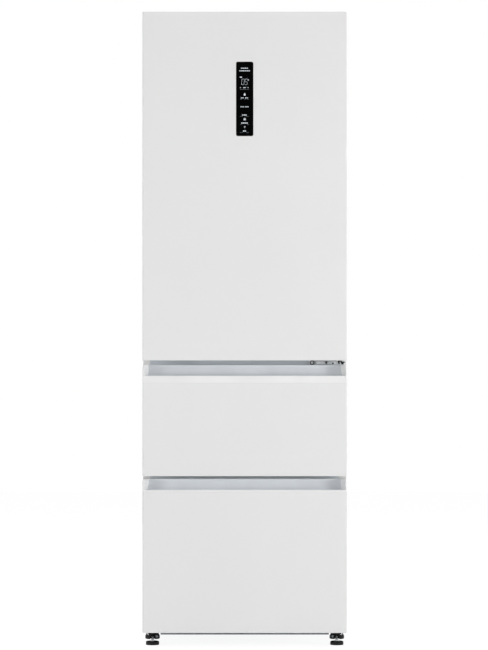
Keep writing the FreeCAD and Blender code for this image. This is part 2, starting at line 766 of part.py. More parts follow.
def make_shelf_trims():
    """Plastic edge strips that hug the front and rear of each pane."""
    strips = []
    for level in PANE_LEVELS:
        pane = box(wide(HALF), Y_SHELF, (level, level + GLASS))
        z = (level - TRIM_WALL, level + GLASS + TRIM_WALL)
        front_y = (Y_SHELF[0] - TRIM_WALL, Y_SHELF[0] + TRIM_GRIP)
        rear_y = (Y_SHELF[1] - TRIM_GRIP, Y_SHELF[1] + TRIM_WALL)
        for y in (front_y, rear_y):
            strips.append(box(wide(FRIDGE_HALF - SHELF_CLEAR), y, z).cut(pane))
    return group(*strips)


def make_air_duct():
    """Raised duct on the fridge back wall with outlet slots."""
    z = (Z_COVER + DUCT_FOOT_ROOM, Z_FRIDGE[1] - DUCT_HEAD_ROOM)
    y = (Y_FRIDGE_BACK - DUCT_DEPTH, Y_FRIDGE_BACK)
    hood = round_edges(box(wide(DUCT_HALF), y, z), DUCT_RADIUS,
                       lambda c, d: is_upright(d) and c.y < y[0] + NEAR)
    inner = box(wide(DUCT_HALF - DUCT_WALL), (y[0] + DUCT_WALL, y[1]),
                (z[0] + DUCT_WALL, z[1] - DUCT_WALL))
    duct = hood.cut(inner)
    cuts = []
    for i in range(SHELF_COUNT + 1):
        mid = PANE_LEVELS[i] + SHELF_STEP / 2
        for side in SIDES:
            for row in range(OUTLET_ROWS):
                x = sided(side, OUTLET_INNER, DUCT_HALF - OUTLET_EDGE)
                low = mid + OUTLET_PITCH * (row - (OUTLET_ROWS - 1) / 2)
                cuts.append(box(x, (y[0], y[0] + DUCT_WALL), (low, low + OUTLET_HEIGHT)))
    return duct.cut(cuts)


def make_fridge_light():
    """Lamp lens on the fridge ceiling near the front."""
    front = Y_SHELF[0] + LIGHT_SETBACK
    y = (front, front + LIGHT_DEPTH)
    z = (Z_FRIDGE[1] - LIGHT_HEIGHT, Z_FRIDGE[1])
    lens = box(wide(LIGHT_HALF), y, z)
    return lens.makeFillet(LIGHT_RADIUS,
                           [e for e in lens.Edges if abs(e.CenterOfMass.z - z[0]) < NEAR])


def make_freezer_air_panel():
    """Panel in front of the evaporator with a fan grille and return slots."""
    y = (Y_AIR, Y_AIR + AIR_PANEL)
    panel = box(wide(FREEZER_HALF), y, (Z_STEP, Z_FREEZER[1]))
    mouth = FAN_RADIUS + FAN_CLEAR
    bar = GRILLE_BAR / 2
    hole = cylinder(mouth, (0, Y_AIR, Z_FAN), (0, 1, 0), AIR_PANEL)
    keep = [box(wide(bar), y, (Z_FAN - mouth, Z_FAN + mouth)),
            box(wide(mouth), y, (Z_FAN - bar, Z_FAN + bar))]
    for share in (1, 2):
        radius = mouth * share / 3
        band = cylinder(radius + bar, (0, Y_AIR, Z_FAN), (0, 1, 0), AIR_PANEL)
        keep.append(band.cut(cylinder(radius - bar, (0, Y_AIR, Z_FAN), (0, 1, 0), AIR_PANEL)))
    panel = panel.cut(hole.cut(keep))
    slots = []
    pitch = 2 * FREEZER_HALF / (RETURN_SLOTS + 1)
    for i in range(RETURN_SLOTS):
        x = -FREEZER_HALF + pitch * (i + 1)
        slots.append(box((x - RETURN_SLOT_WIDTH / 2, x + RETURN_SLOT_WIDTH / 2), y,
                         (Z_STEP + 2 * RETURN_SLOT_HEIGHT, Z_STEP + 3 * RETURN_SLOT_HEIGHT)))
    return panel.cut(slots)


def make_evaporator():
    """Fin block with through tubes, standing against the freezer back."""
    z = (Z_STEP + FIN_FLOOR_ROOM, Z_FAN - FAN_RADIUS - FIN_TOP_ROOM)
    y = (Y_AIR + AIR_PANEL + FIN_FRONT_ROOM, Y_FREEZER_BACK)
    reach = FREEZER_HALF - FIN_SIDE_ROOM
    pieces = []
    for i in range(FIN_COUNT):
        x = -reach + 2 * reach * i / (FIN_COUNT - 1)
        pieces.append(box((x - FIN_THICK / 2, x + FIN_THICK / 2), y, z))
    end = reach + TUBE_OVERHANG
    for i in range(TUBE_ROWS):
        level = z[0] + (z[1] - z[0]) * (i + 0.5) / TUBE_ROWS
        for j in range(TUBE_COLUMNS):
            place = y[0] + (y[1] - y[0]) * (j + 0.5) / TUBE_COLUMNS
            pieces.append(cylinder(TUBE_RADIUS, (-end, place, level), (1, 0, 0), 2 * end))
    return fuse(*pieces)


def make_fan_motor():
    """Motor held behind the fan by a ring and spokes on the air panel."""
    back = Y_AIR + AIR_PANEL
    ring_out = FAN_RADIUS + COLLAR_CLEAR + COLLAR_WALL
    collar = cylinder(ring_out, (0, back, Z_FAN), (0, 1, 0), COLLAR_DEPTH)
    collar = collar.cut(cylinder(ring_out - COLLAR_WALL, (0, back, Z_FAN), (0, 1, 0), COLLAR_DEPTH))
    face = back + COLLAR_DEPTH - SPOKE_DEPTH
    motor = cylinder(MOTOR_RADIUS, (0, face, Z_FAN), (0, 1, 0), MOTOR_LENGTH)
    start = back + FAN_SETBACK + SHAFT_RADIUS
    shaft = cylinder(SHAFT_RADIUS, (0, start, Z_FAN), (0, 1, 0), face - start + SPOKE_DEPTH)
    pieces = [collar, motor, shaft]
    for i in range(SPOKE_COUNT):
        spoke = box(wide(SPOKE_WIDTH / 2), (face, face + SPOKE_DEPTH),
                    (MOTOR_RADIUS / 2, ring_out - COLLAR_WALL / 2))
        spoke.rotate(V(0, 0, 0), V(0, 1, 0), 360 * i / SPOKE_COUNT)
        spoke.translate(V(0, 0, Z_FAN))
        pieces.append(spoke)
    return fuse(*pieces)


def make_evaporator_fan():
    """Hub with pitched blades on the motor shaft."""
    low = Y_AIR + AIR_PANEL + FAN_SETBACK
    hub = cylinder(HUB_RADIUS, (0, low, Z_FAN), (0, 1, 0), HUB_LENGTH)
    tunnel = cylinder(FAN_RADIUS, (0, low - FAN_CLEAR / 2, Z_FAN), (0, 1, 0), HUB_LENGTH + FAN_CLEAR)
    pieces = [hub]
    for i in range(FAN_BLADES):
        blade = box(wide(PADDLE_WIDTH / 2), wide(PADDLE_THICK / 2),
                    (HUB_RADIUS - PADDLE_ROOT, FAN_RADIUS + FAN_CLEAR))
        blade.rotate(V(0, 0, 0), V(0, 0, 1), PADDLE_ANGLE)
        blade.rotate(V(0, 0, 0), V(0, 1, 0), 360 * i / FAN_BLADES)
        blade.translate(V(0, low + HUB_LENGTH / 2, Z_FAN))
        pieces.append(blade.common(tunnel))
    fan = fuse(*pieces)
    return fan.cut(cylinder(SHAFT_RADIUS + PIN_PLAY, (0, low, Z_FAN), (0, 1, 0), HUB_LENGTH))


def channel(side, web, tip, half, mid):
    """A C rail along the runner: web at one X, flanges reaching to a tip X."""
    x = sided(side, min(web[0], tip), max(web[1], tip))
    block = box(x, Y_RUNNER, (mid - half, mid + half))
    hollow = (tip, web[0]) if tip < web[0] else (web[1], tip)
    inner_half = half - RUNNER_SHEET
    return block.cut(box(sided(side, hollow[0], hollow[1]), Y_RUNNER,
                         (mid - inner_half, mid + inner_half)))


def outer_rail(side, mid):
    """Rail fixed to the freezer wall."""
    web = (FREEZER_HALF - RUNNER_SHEET, FREEZER_HALF)
    return channel(side, web, FREEZER_HALF - RUNNER_REACH, RUNNER_HALF, mid)


def middle_rail(side, mid):
    """Rail that rides in the outer rail."""
    high = FREEZER_HALF - RUNNER_SHEET - RUNNER_GAP
    half = RUNNER_HALF - RUNNER_SHEET - RUNNER_GAP
    return channel(side, (high - RUNNER_SHEET, high), FREEZER_HALF - RUNNER_REACH, half, mid)


def inner_rail(side, mid):
    """Rail fixed to the drawer arm, facing the middle rail."""
    half = RUNNER_HALF - 2 * (RUNNER_SHEET + RUNNER_GAP)
    tip = FREEZER_HALF - 2 * (RUNNER_SHEET + RUNNER_GAP)
    return channel(side, (X_WEB_INNER, X_WEB_INNER + RUNNER_SHEET), tip, half, mid)


def make_outer_runners():
    """The four rails fixed to the freezer walls."""
    return group(*[outer_rail(side, mid) for mid in (Z_UPPER_RUNNER, Z_LOWER_RUNNER)
                   for side in SIDES])


def make_middle_runners(mid):
    """The pair of middle rails of one drawer."""
    return group(*[middle_rail(side, mid) for side in SIDES])


def make_drawer_arms(mid):
    """Pair of drawer arms with the inner rails and the tabs at the front panel."""
    solids = []
    for side in SIDES:
        z = (mid - ARM_HALF, mid + ARM_HALF)
        plate = box(sided(side, X_ARM, X_WEB_INNER), (Y_PLUG, Y_RUNNER[1]), z)
        tab = box(sided(side, X_ARM - ARM_TAB, X_ARM), (Y_PLUG, Y_PLUG + ARM_SHEET), z)
        solids.append(fuse(plate, tab, inner_rail(side, mid)))
    return group(*solids)


def compressor_place():
    """Middle of the compressor on the base pan."""
    return (HALF * COMPRESSOR_SHARE, (Y_MACHINE + PAN_SHEET + Y_PANEL) / 2)


def compressor_top():
    """Height of the flat on top of the compressor."""
    return Z_MACHINE - TRAY_HEIGHT - TRAY_AIR


def compressor_can(low, top):
    """Drawn steel can: rounded at its foot, domed up to a flat at the top."""
    r = COMPRESSOR_RADIUS
    half = CAN_ROUND * (1 - math.sqrt(0.5))
    run = r - CAN_FLAT
    dome = (run * run + CAN_DOME * CAN_DOME) / (2 * CAN_DOME)
    turn = math.asin(run / dome) / 2
    foot_bend = V(r - half, 0, low + half)
    dome_bend = V(CAN_FLAT + dome * math.sin(turn), 0, top - dome * (1 - math.cos(turn)))
    p = [V(0, 0, low), V(r - CAN_ROUND, 0, low), V(r, 0, low + CAN_ROUND),
         V(r, 0, top - CAN_DOME), V(CAN_FLAT, 0, top), V(0, 0, top)]
    edges = [
        Part.makeLine(p[0], p[1]), Part.Arc(p[1], foot_bend, p[2]).toShape(),
        Part.makeLine(p[2], p[3]), Part.Arc(p[3], dome_bend, p[4]).toShape(),
        Part.makeLine(p[4], p[5]), Part.makeLine(p[5], p[0]),
    ]
    return Part.Face(Part.Wire(edges)).revolve(V(0, 0, 0), V(0, 0, 1), 360)


def make_compressor():
    """Sealed compressor on a foot plate with four rubber mounts."""
    cx, cy = compressor_place()
    low = Z_PAN + GROMMET_HEIGHT / 2
    top = compressor_top()
    middle = (low + top) / 2
    r = COMPRESSOR_RADIUS
    foot_z = Z_PAN + GROMMET_HEIGHT
    plate = box(wide(FOOT_PLATE_HALF), wide(FOOT_PLATE_DEPTH / 2), (foot_z, foot_z + FOOT_PLATE))
    plate = round_edges(plate, FOOT_PLATE_RADIUS, lambda c, d: is_upright(d))
    seam = cylinder(r + SEAM_REACH, (0, 0, middle), (0, 0, 1), SEAM_HEIGHT)
    rise = foot_z + TERMINAL_RISE
    terminal = box((-r - TERMINAL_REACH, TERMINAL_SINK - r), wide(TERMINAL_WIDTH / 2),
                   (rise, rise + TERMINAL_WIDTH))
    pieces = [compressor_can(low, top), plate, seam, terminal]
    for angle in STUB_ANGLES:
        a = math.radians(angle)
        axis = (math.cos(a), math.sin(a), 0)
        start = r - STUB_SINK
        base = (start * axis[0], start * axis[1], middle + STUB_RISE)
        pieces.append(cylinder(TUBE_RADIUS, base, axis, STUB_SINK + STUB_LENGTH))
    mounts = []
    mount_x = FOOT_PLATE_HALF - GROMMET_INSET
    mount_y = FOOT_PLATE_DEPTH / 2 - GROMMET_INSET
    for sx in SIDES:
        for sy in SIDES:
            base = (sx * mount_x, sy * mount_y, Z_PAN)
            mounts.append(cylinder(GROMMET_RADIUS, base, (0, 0, 1), GROMMET_HEIGHT))
    whole = group(fuse(*pieces), *mounts)
    whole.translate(V(cx, cy, 0))
    return whole


def make_drip_tray():
    """Open tray on top of the compressor that takes the melt water."""
    cx, cy = compressor_place()
    top = compressor_top()
    x = (cx - TRAY_WIDTH / 2, cx + TRAY_WIDTH / 2)
    y = (cy - TRAY_DEPTH / 2, cy + TRAY_DEPTH / 2)
    return open_tub(x, y, (top, top + TRAY_HEIGHT), TRAY_WALL, TRAY_RADIUS)


def make_condenser_tubes():
    """A winding tube behind each side wall."""
    solids = []
    pitch = condenser_pitch()
    y = (Y_CONDENSER[0] + pitch / 2, Y_CONDENSER[1] - pitch / 2)
    z_low = Z_CONDENSER[0]
    for side in SIDES:
        x = side * (X_SKIN - CONDENSER_TUBE - CONDENSER_PLAY)
        edges = []
        for i in range(CONDENSER_RUNS):
            level = z_low + pitch * i
            ends = (y[0], y[1]) if i % 2 == 0 else (y[1], y[0])
            edges.append(Part.makeLine(V(x, ends[0], level), V(x, ends[1], level)))
            if i + 1 < CONDENSER_RUNS:
                swing = pitch / 2 if i % 2 == 0 else -pitch / 2
                bend = Part.Arc(V(x, ends[1], level), V(x, ends[1] + swing, level + pitch / 2),
                                V(x, ends[1], level + pitch))
                edges.append(bend.toShape())
        path = Part.Wire(edges)
        ring_wire = Part.Wire(Part.makeCircle(CONDENSER_TUBE, V(x, y[0], z_low), V(0, 1, 0)))
        solids.append(path.makePipeShell([ring_wire], True, True))
    return group(*solids)


def make_rear_cover():
    """Vented cover over the machine space, standing out to the rear."""
    flange_y = (Y_PANEL - COVER_WALL, Y_PANEL)
    flange = box(wide(X_SKIN), flange_y, (Z_PAN, Z_MACHINE - COVER_SEAM))
    bulge_x = wide(HALF - COVER_INSET)
    bulge_z = (Z_PAN + COVER_RISE, Z_MACHINE - COVER_RISE)
    bulge = box(bulge_x, (Y_PANEL - COVER_WALL, Y_BACK), bulge_z)
    bulge = bulge.makeFillet(COVER_RADIUS,
                             [e for e in bulge.Edges if e.CenterOfMass.y > Y_BACK - NEAR])
    hollow_x = wide(HALF - COVER_INSET - COVER_WALL)
    hollow_z = (bulge_z[0] + COVER_WALL, bulge_z[1] - COVER_WALL)
    hollow = box(hollow_x, (Y_PANEL - 2 * COVER_WALL, Y_BACK - COVER_WALL), hollow_z)
    rim = [e for e in hollow.Edges if e.CenterOfMass.y > Y_BACK - COVER_WALL - NEAR]
    hollow = hollow.makeFillet(COVER_RADIUS - COVER_WALL, rim)
    cover = fuse(flange, bulge).cut(hollow)
    span = 2 * (HALF - COVER_INSET - VENT_MARGIN)
    vents = []
    for i in range(VENT_COUNT):
        x = -span / 2 + span * i / (VENT_COUNT - 1)
        for low, high in VENT_ROWS:
            z = (bulge_z[0] + (bulge_z[1] - bulge_z[0]) * low,
                 bulge_z[0] + (bulge_z[1] - bulge_z[0]) * high)
            vents.append(box((x - VENT_WIDTH / 2, x + VENT_WIDTH / 2),
                             (Y_BACK - 2 * COVER_WALL, Y_BACK + OVERCUT), z))
    return cover.cut(vents)


def make_chassis_brackets():
    """Front bosses, notched for the feet's stems, and rear forks with roller axles."""
    solids = []
    for side in SIDES:
        foot_x = side * X_FOOT
        collar_top = BOSS_BOTTOM + BOSS_COLLAR
        collar = cylinder(FOOT_BOSS, (foot_x, Y_FOOT, BOSS_BOTTOM), (0, 0, 1), BOSS_COLLAR)
        collar = collar.makeFillet(BOSS_RADIUS, [e for e in collar.Edges
                                                 if e.CenterOfMass.z < BOSS_BOTTOM + NEAR])
        shoulder = Part.makeCone(FOOT_BOSS, BOSS_TOP, BASE_HEIGHT - collar_top,
                                 V(foot_x, Y_FOOT, collar_top), V(0, 0, 1))
        hole = cylinder(STEM_RADIUS + PIN_PLAY, (foot_x, Y_FOOT, BOSS_BOTTOM), (0, 0, 1),
                        BASE_HEIGHT - BOSS_BOTTOM)
        notch = box((foot_x - BOSS_NOTCH / 2, foot_x + BOSS_NOTCH / 2), (Y_FOOT - FOOT_BOSS, Y_FOOT),
                    (BOSS_BOTTOM, collar_top))
        solids.append(fuse(collar, shoulder).cut(hole).cut(notch))
        half = ROLLER_WIDTH / 2 + FORK_GAP
        reach = half + FORK_SHEET
        x = side * X_ROLLER
        yoke_y = (Y_ROLLER - FORK_HALF, Y_ROLLER + FORK_HALF)
        under = BASE_HEIGHT - FORK_BRIDGE
        bridge = box((x - reach, x + reach), yoke_y, (under, BASE_HEIGHT))
        pieces = [bridge]
        for edge in SIDES:
            plate = (x + edge * half, x + edge * reach)
            pieces.append(box((min(plate), max(plate)), yoke_y, (FORK_BOTTOM, under)))
        pieces.append(cylinder(AXLE_RADIUS, (x - reach, Y_ROLLER, ROLLER_RADIUS), (1, 0, 0),
                               2 * reach))
        solids.append(fuse(*pieces))
    return group(*solids)


def make_rear_rollers():
    """The two rear rollers on their axles."""
    solids = []
    for side in SIDES:
        base = (side * X_ROLLER - ROLLER_WIDTH / 2, Y_ROLLER, ROLLER_RADIUS)
        wheel = cylinder(ROLLER_RADIUS, base, (1, 0, 0), ROLLER_WIDTH)
        wheel = wheel.makeFillet(ROLLER_EDGE, rims(wheel))
        solids.append(wheel.cut(cylinder(AXLE_RADIUS + PIN_PLAY, base, (1, 0, 0), ROLLER_WIDTH)))
    return group(*solids)


def make_foot(side):
    """Levelling foot: round pad, nut and screw stem."""
    place = (side * X_FOOT, Y_FOOT, 0)
    pad = cylinder(FOOT_RADIUS, place, (0, 0, 1), FOOT_THICK)
    pad = pad.makeFillet(PAD_TOP_RADIUS, [e for e in rims(pad) if e.CenterOfMass.z > FOOT_THICK - NEAR])
    pad = pad.makeFillet(PAD_FOOT_RADIUS, [e for e in rims(pad) if e.CenterOfMass.z < NEAR])
    nut = Part.Face(hexagon(NUT_RADIUS, V(*place) + V(0, 0, FOOT_THICK))).extrude(V(0, 0, NUT_HEIGHT))
    root = FOOT_THICK - NUT_HEIGHT
    stem = cylinder(STEM_RADIUS, (place[0], place[1], root), (0, 0, 1),
                    BASE_HEIGHT - STEM_TOP_GAP - root)
    return fuse(pad, nut, stem)


def make_power_inlet():
    """Mains inlet at the lower rear, with a recess for a plug and its blades."""
    cx = -HALF * INLET_SHARE
    mid = Z_MACHINE + INLET_RISE
    y = (Y_PANEL, Y_PANEL + INLET_DEPTH)
    shell = box((cx - INLET_WIDTH / 2, cx + INLET_WIDTH / 2), y,
                (mid - INLET_HEIGHT / 2, mid + INLET_HEIGHT / 2))
    shell = round_edges(shell, 2 * INLET_WALL, lambda c, d: runs_back(d))
    recess = box((cx - SOCKET_WIDTH / 2, cx + SOCKET_WIDTH / 2), (y[0] + INLET_WALL, y[1]),
                 (mid - SOCKET_HEIGHT / 2, mid + SOCKET_HEIGHT / 2))
    blades = []
    half = INLET_WALL / 2
    for place in (-1, 0, 1):
        x = cx + place * BLADE_SPACING
        level = mid + (3 * half if place == 0 else -INLET_WALL)
        blades.append(box((x - half, x + half), (y[0] + INLET_WALL, y[1] - half),
                          (level - INLET_WALL, level + INLET_WALL)))
    return fuse(shell.cut(recess), *blades)


# Fronts

def seal(z):
    """Bellows seal around one front, seen as foot, waist and head."""
    x = wide(HALF - SEAL_INSET)
    depth = SEAL_GAP - SEAL_TOUCH
    cut_low = Y_SEAL + SEAL_FOOT_SHARE * depth
    cut_high = Y_SEAL + (1 - SEAL_HEAD_SHARE) * depth
    foot = ring(x, z, SEAL_WIDTH, (Y_SEAL, cut_low))
    waist = ring((x[0] + SEAL_WAIST, x[1] - SEAL_WAIST), (z[0] + SEAL_WAIST, z[1] - SEAL_WAIST),
                 SEAL_WIDTH - 2 * SEAL_WAIST, (cut_low, cut_high))
    head = ring(x, z, SEAL_WIDTH, (cut_high, Y_SEAL + depth))
    return fuse(foot, waist, head)


def control_window(grow):
    """Outline block of the control glass, grown by a clearance."""
    top = Z_DOOR[1] - CONTROL_DROP
    z = (top - CONTROL_HEIGHT - grow, top + grow)
    slab = box(wide(CONTROL_WIDTH / 2 + grow), (Y_FRONT - OVERCUT, Y_FRONT + CONTROL_GLASS), z)
    return round_edges(slab, CONTROL_RADIUS + grow, lambda c, d: runs_back(d))


def door_recess():
    """Space above the low rear part of the door top, under the hinge arm."""
    return box(wide(HALF), (Y_FRONT + TOP_LIP, Y_SEAL), (Z_RECESS, HEIGHT))


def make_door_skin():
    """Folded front sheet of the door with its two sides and the control window."""
    skin = front_block(0.0, Y_SEAL, Z_DOOR).cut(front_block(SHEET, Y_SEAL, Z_DOOR))
    return skin.cut(door_recess()).cut(control_window(CONTROL_CLEAR))


def bush_bore(z):
    """Bore for a hinge bushing between two heights."""
    return cylinder(BUSH_RADIUS + PIN_PLAY, (X_HINGE, Y_HINGE, z[0]), (0, 0, 1), z[1] - z[0])


def make_door_top_cap():
    """Upper end cap with a front lip and a low rear part for the hinge arm."""
    cap = front_block(SHEET, Y_SEAL, (Z_DOOR[1] - CAP_HEIGHT, Z_DOOR[1])).cut(door_recess())
    return cap.cut(bush_bore((Z_DOOR[1] - CAP_HEIGHT, Z_DOOR[1])))


def make_door_bottom_cap():
    """Lower end cap with the finger scoop that opens the door."""
    cap = front_block(SHEET, Y_SEAL, (Z_DOOR[0], Z_DOOR[0] + CAP_HEIGHT))
    x = (-HALF + CHEEK_BACK, X_HINGE - 2 * CAP_HEIGHT)
    y = (Y_FRONT + TOP_LIP, Y_FRONT + TOP_LIP + SCOOP_DEPTH)
    scoop = box(x, y, (Z_DOOR[0], Z_DOOR[0] + SCOOP_HEIGHT))
    scoop = round_edges(scoop, SCOOP_RADIUS, lambda c, d: c.z > Z_DOOR[0] + SCOOP_HEIGHT - NEAR)
    return cap.cut(scoop).cut(bush_bore((Z_DOOR[0], Z_DOOR[0] + CAP_HEIGHT)))


def ridge_blocks(inset):
    """Raised frame on the door liner; inset shrinks it to its foam core."""
    depth = RIDGE_DEPTH - inset
    cross = CROSS_RIDGE - inset
    z = (Z_RIDGE[0] + inset, Z_RIDGE[1] - inset)
    low = Y_SEAL if inset == 0 else Y_SEAL - LINER
    blocks = []
    for side in SIDES:
        x = sided(side, RIDGE_IN + inset, RIDGE_OUT - inset)
        blocks.append(box(x, (low, Y_SEAL + depth), z))
    x = wide(RIDGE_OUT - inset)
    tall = CROSS_RIDGE_HEIGHT - inset
    blocks.append(box(x, (low, Y_SEAL + cross), (z[0], Z_RIDGE[0] + tall)))
    blocks.append(box(x, (low, Y_SEAL + cross), (Z_RIDGE[1] - tall, z[1])))
    return fuse(*blocks)


def bin_levels():
    """Underside height of each door bin, lowest first."""
    first = Z_RIDGE[0] + CROSS_RIDGE_HEIGHT + BIN_LIFT
    step = (Z_RIDGE[1] - Z_RIDGE[0]) / len(BIN_HEIGHTS)
    return [first + step * i for i in range(len(BIN_HEIGHTS))]


def make_door_liner():
    """Formed inner face of the door with its ridges and the bin ledges."""
    z = (Z_DOOR[0] + CAP_HEIGHT, Z_DOOR[1] - CAP_HEIGHT)
    plate = box(wide(X_SKIN), (Y_SEAL - LINER, Y_SEAL), z)
    pieces = [plate, ridge_blocks(0.0)]
    for level in bin_levels():
        low = max(level - BIN_LEDGE, Z_RIDGE[0])
        for side in SIDES:
            x = sided(side, RIDGE_IN - BIN_LEDGE, RIDGE_IN)
            pieces.append(box(x, (Y_SEAL, Y_SEAL + RIDGE_DEPTH - LEDGE_SETBACK), (low, level)))
    return fuse(*pieces).cut(ridge_blocks(LINER))


def make_door_foam():
    """Foam between door skin and door liner, with the pocket for the board."""
    z = (Z_DOOR[0] + CAP_HEIGHT, Z_DOOR[1] - CAP_HEIGHT)
    block = front_block(SHEET, Y_SEAL - LINER, z)
    block = fuse(block, ridge_blocks(LINER))
    return block.cut(board_space(CONTROL_CLEAR)).cut(control_window(CONTROL_CLEAR))


def board_space(grow):
    """Block that the control board takes up behind the glass."""
    top = Z_DOOR[1] - CONTROL_DROP
    z = (top - CONTROL_HEIGHT + BOARD_END - grow, top - BOARD_END + grow)
    y = (Y_FRONT + CONTROL_GLASS, Y_FRONT + CONTROL_GLASS + BOARD_DEPTH)
    return box(wide(CONTROL_WIDTH / 2 - BOARD_EDGE + grow), y, z)


def make_control_glass():
    """Black glass set flush in the door skin."""
    pane = control_window(0.0)
    return pane.cut(box(wide(HALF), (Y_FRONT - OVERCUT, Y_FRONT + CONTROL_SINK), (0, HEIGHT)))


def make_control_board():
    """Circuit board behind the control glass, with its taller parts."""
    top = Z_DOOR[1] - CONTROL_DROP
    full = board_space(0.0).BoundBox
    y = (Y_FRONT + CONTROL_GLASS, full.YMax)
    sheet = box((full.XMin, full.XMax), (y[1] - BOARD_SHEET, y[1]), (full.ZMin, full.ZMax))
    tall = (y[0], y[1] - BOARD_SHEET)
    screen_top = top - DISPLAY_DROP
    display = box(wide(DISPLAY_WIDTH / 2), tall, (screen_top - DISPLAY_HEIGHT, screen_top))
    keys = []
    for i in range(KEY_COUNT):
        key_top = top - KEY_DROP - KEY_PITCH * i
        keys.append(box(wide(KEY_SIZE / 2), tall, (key_top - KEY_SIZE, key_top)))
    return fuse(sheet, display, *keys)


def make_door_bushings():
    """Flanged bushings for the two hinge pins."""
    solids = []
    for face, way in ((Z_RECESS, -1), (Z_DOOR[0], 1)):
        centre = (X_HINGE, Y_HINGE, face)
        sleeve = cylinder(BUSH_RADIUS, centre, (0, 0, way), BUSH_LENGTH)
        collar = cylinder(BUSH_RADIUS + BUSH_COLLAR, centre, (0, 0, -way), BUSH_COLLAR_HEIGHT)
        whole = fuse(sleeve, collar)
        bore_start = (X_HINGE, Y_HINGE, face - way * BUSH_COLLAR_HEIGHT)
        bore = cylinder(PIN_RADIUS + PIN_PLAY, bore_start, (0, 0, way),
                        BUSH_LENGTH + BUSH_COLLAR_HEIGHT)
        solids.append(whole.cut(bore))
    return group(*solids)


def make_door_bin(index):
    """Open bin between the door ridges, resting on its two ledges."""
    level = bin_levels()[index]
    z = (level, level + BIN_HEIGHTS[index])
    return open_tub(wide(RIDGE_IN - BIN_CLEAR), Y_BIN, z, BIN_WALL, BIN_RADIUS)


def make_crisper():
    """Wide vegetable drawer on the fridge floor with a pull lip."""
    x = wide(FRIDGE_HALF - SHELF_RIB - CRISPER_CLEAR)
    y = (Y_SHELF[0] - TRIM_WALL + CRISPER_LIP, Y_FRIDGE_BACK - DUCT_DEPTH - CRISPER_REAR)
    z = (Z_FRIDGE[0] + CRISPER_FLOAT, Z_COVER - RIB_HEIGHT - CRISPER_HEADROOM)
    tub = open_tub(x, y, z, CRISPER_WALL, CRISPER_RADIUS)
    lip_y = (y[0] - CRISPER_LIP, y[0])
    lip_x = wide(x[1] - CRISPER_RADIUS)
    pull_low = z[1] - CRISPER_PULL
    lip = box(lip_x, lip_y, (pull_low, z[1]))
    under = box(lip_x, (lip_y[0] + CRISPER_PULL_WALL, lip_y[1]),
                (pull_low, z[1] - CRISPER_PULL_WALL))
    return fuse(tub, lip.cut(under))


def grip_levels(z_top):
    """Top of the front lip and floor of the finger channel."""
    lip_top = z_top - GRIP_OPENING
    return lip_top, lip_top - GRIP_CHANNEL


def cap_bottom(z_top):
    """Underside of the drawer top moulding."""
    return grip_levels(z_top)[1] - GRIP_SHEET - GRIP_BED


def cheek_plan(z):
    """Plan of the finger channel: wider at the front, so its cheeks slope."""
    front = HALF - CHEEK_FRONT
    back = HALF - CHEEK_BACK
    deep = Y_FRONT + GRIP_DEPTH
    slope = (front - back) / GRIP_DEPTH
    front_out = front + slope * OVERCUT
    y_out = Y_FRONT - OVERCUT
    points = [(-front_out, y_out), (front_out, y_out),
              (back, deep), (back, Y_SEAL), (-back, Y_SEAL), (-back, deep)]
    return prism_z(points, z)


def bowl(z_top, radius):
    """Three points of the hollow behind the drawer lip, from just below the lip up to the top."""
    turn = math.asin((GRIP_OPENING + GRIP_EDGE) / GRIP_BOWL)
    y_centre = Y_FRONT + GRIP_DEPTH - GRIP_BOWL
    return [(y_centre + radius * math.cos(a), z_top - radius * math.sin(a))
            for a in (turn, turn / 2, 0.0)]


def grip_opening(z_top):
    """The open finger space in the drawer top."""
    lip_top, floor = grip_levels(z_top)
    y_out = Y_FRONT - OVERCUT
    y_lip = Y_FRONT + GRIP_LIP
    hollow = bowl(z_top, GRIP_BOWL)
    y_turn = hollow[0][0]
    corners = [hollow[-1], (y_out, z_top), (y_out, lip_top), (y_lip, lip_top), (y_lip, floor),
               (y_turn, floor), hollow[0]]
    runs = list(zip(corners, corners[1:])) + [hollow]
    return outline_x(runs, wide(HALF)).common(cheek_plan((floor - OVERCUT, z_top)))


def make_drawer_grip(z_top):
    """Silver insert: floor and hollow back of the finger channel."""
    floor = grip_levels(z_top)[1]
    y_lip = Y_FRONT + GRIP_LIP
    hollow = bowl(z_top, GRIP_BOWL)
    behind = bowl(z_top, GRIP_BOWL + GRIP_SHEET)
    y_turn = hollow[0][0]
    under = floor - GRIP_SHEET
    corners = [behind[0], (y_turn + GRIP_SHEET, under), (y_lip, under), (y_lip, floor),
               (y_turn, floor), hollow[0]]
    runs = list(zip(corners, corners[1:])) + [hollow, (hollow[-1], behind[-1]), behind[::-1]]
    return outline_x(runs, wide(HALF)).common(cheek_plan((under - OVERCUT, z_top)))


def make_drawer_cap(z, band):
    """White moulding along the drawer top: lip, cheeks and top land."""
    lip_top = grip_levels(z[1])[0]
    z_skin = lip_top - band
    upper = front_block(0.0, Y_SEAL, (z_skin, z[1]))
    upper = round_edges(upper, CAP_CORNER,
                        lambda c, d: runs_back(d) and c.z > z[1] - NEAR)
    lower = front_block(SHEET, Y_SEAL, (cap_bottom(z[1]), z_skin))
    y_out = Y_FRONT - OVERCUT
    wedge = prism_x([(Y_FRONT, z_skin), (Y_FRONT + LIP_TILT, lip_top), (y_out, lip_top),
                     (y_out, z_skin)], wide(HALF - CHEEK_FRONT))
    whole = fuse(upper, lower)
    return whole.cut([grip_opening(z[1]), make_drawer_grip(z[1]), wedge])


def round_feet(slab, inset, low, corner):
    """Round the two lower corners of a drawer slab, as seen from the front."""
    mask = box(wide(HALF - inset), (Y_FRONT, Y_SEAL), (low, HEIGHT))
    mask = round_edges(mask, corner - inset, lambda c, d: runs_back(d) and c.z < low + NEAR)
    return slab.common(mask)


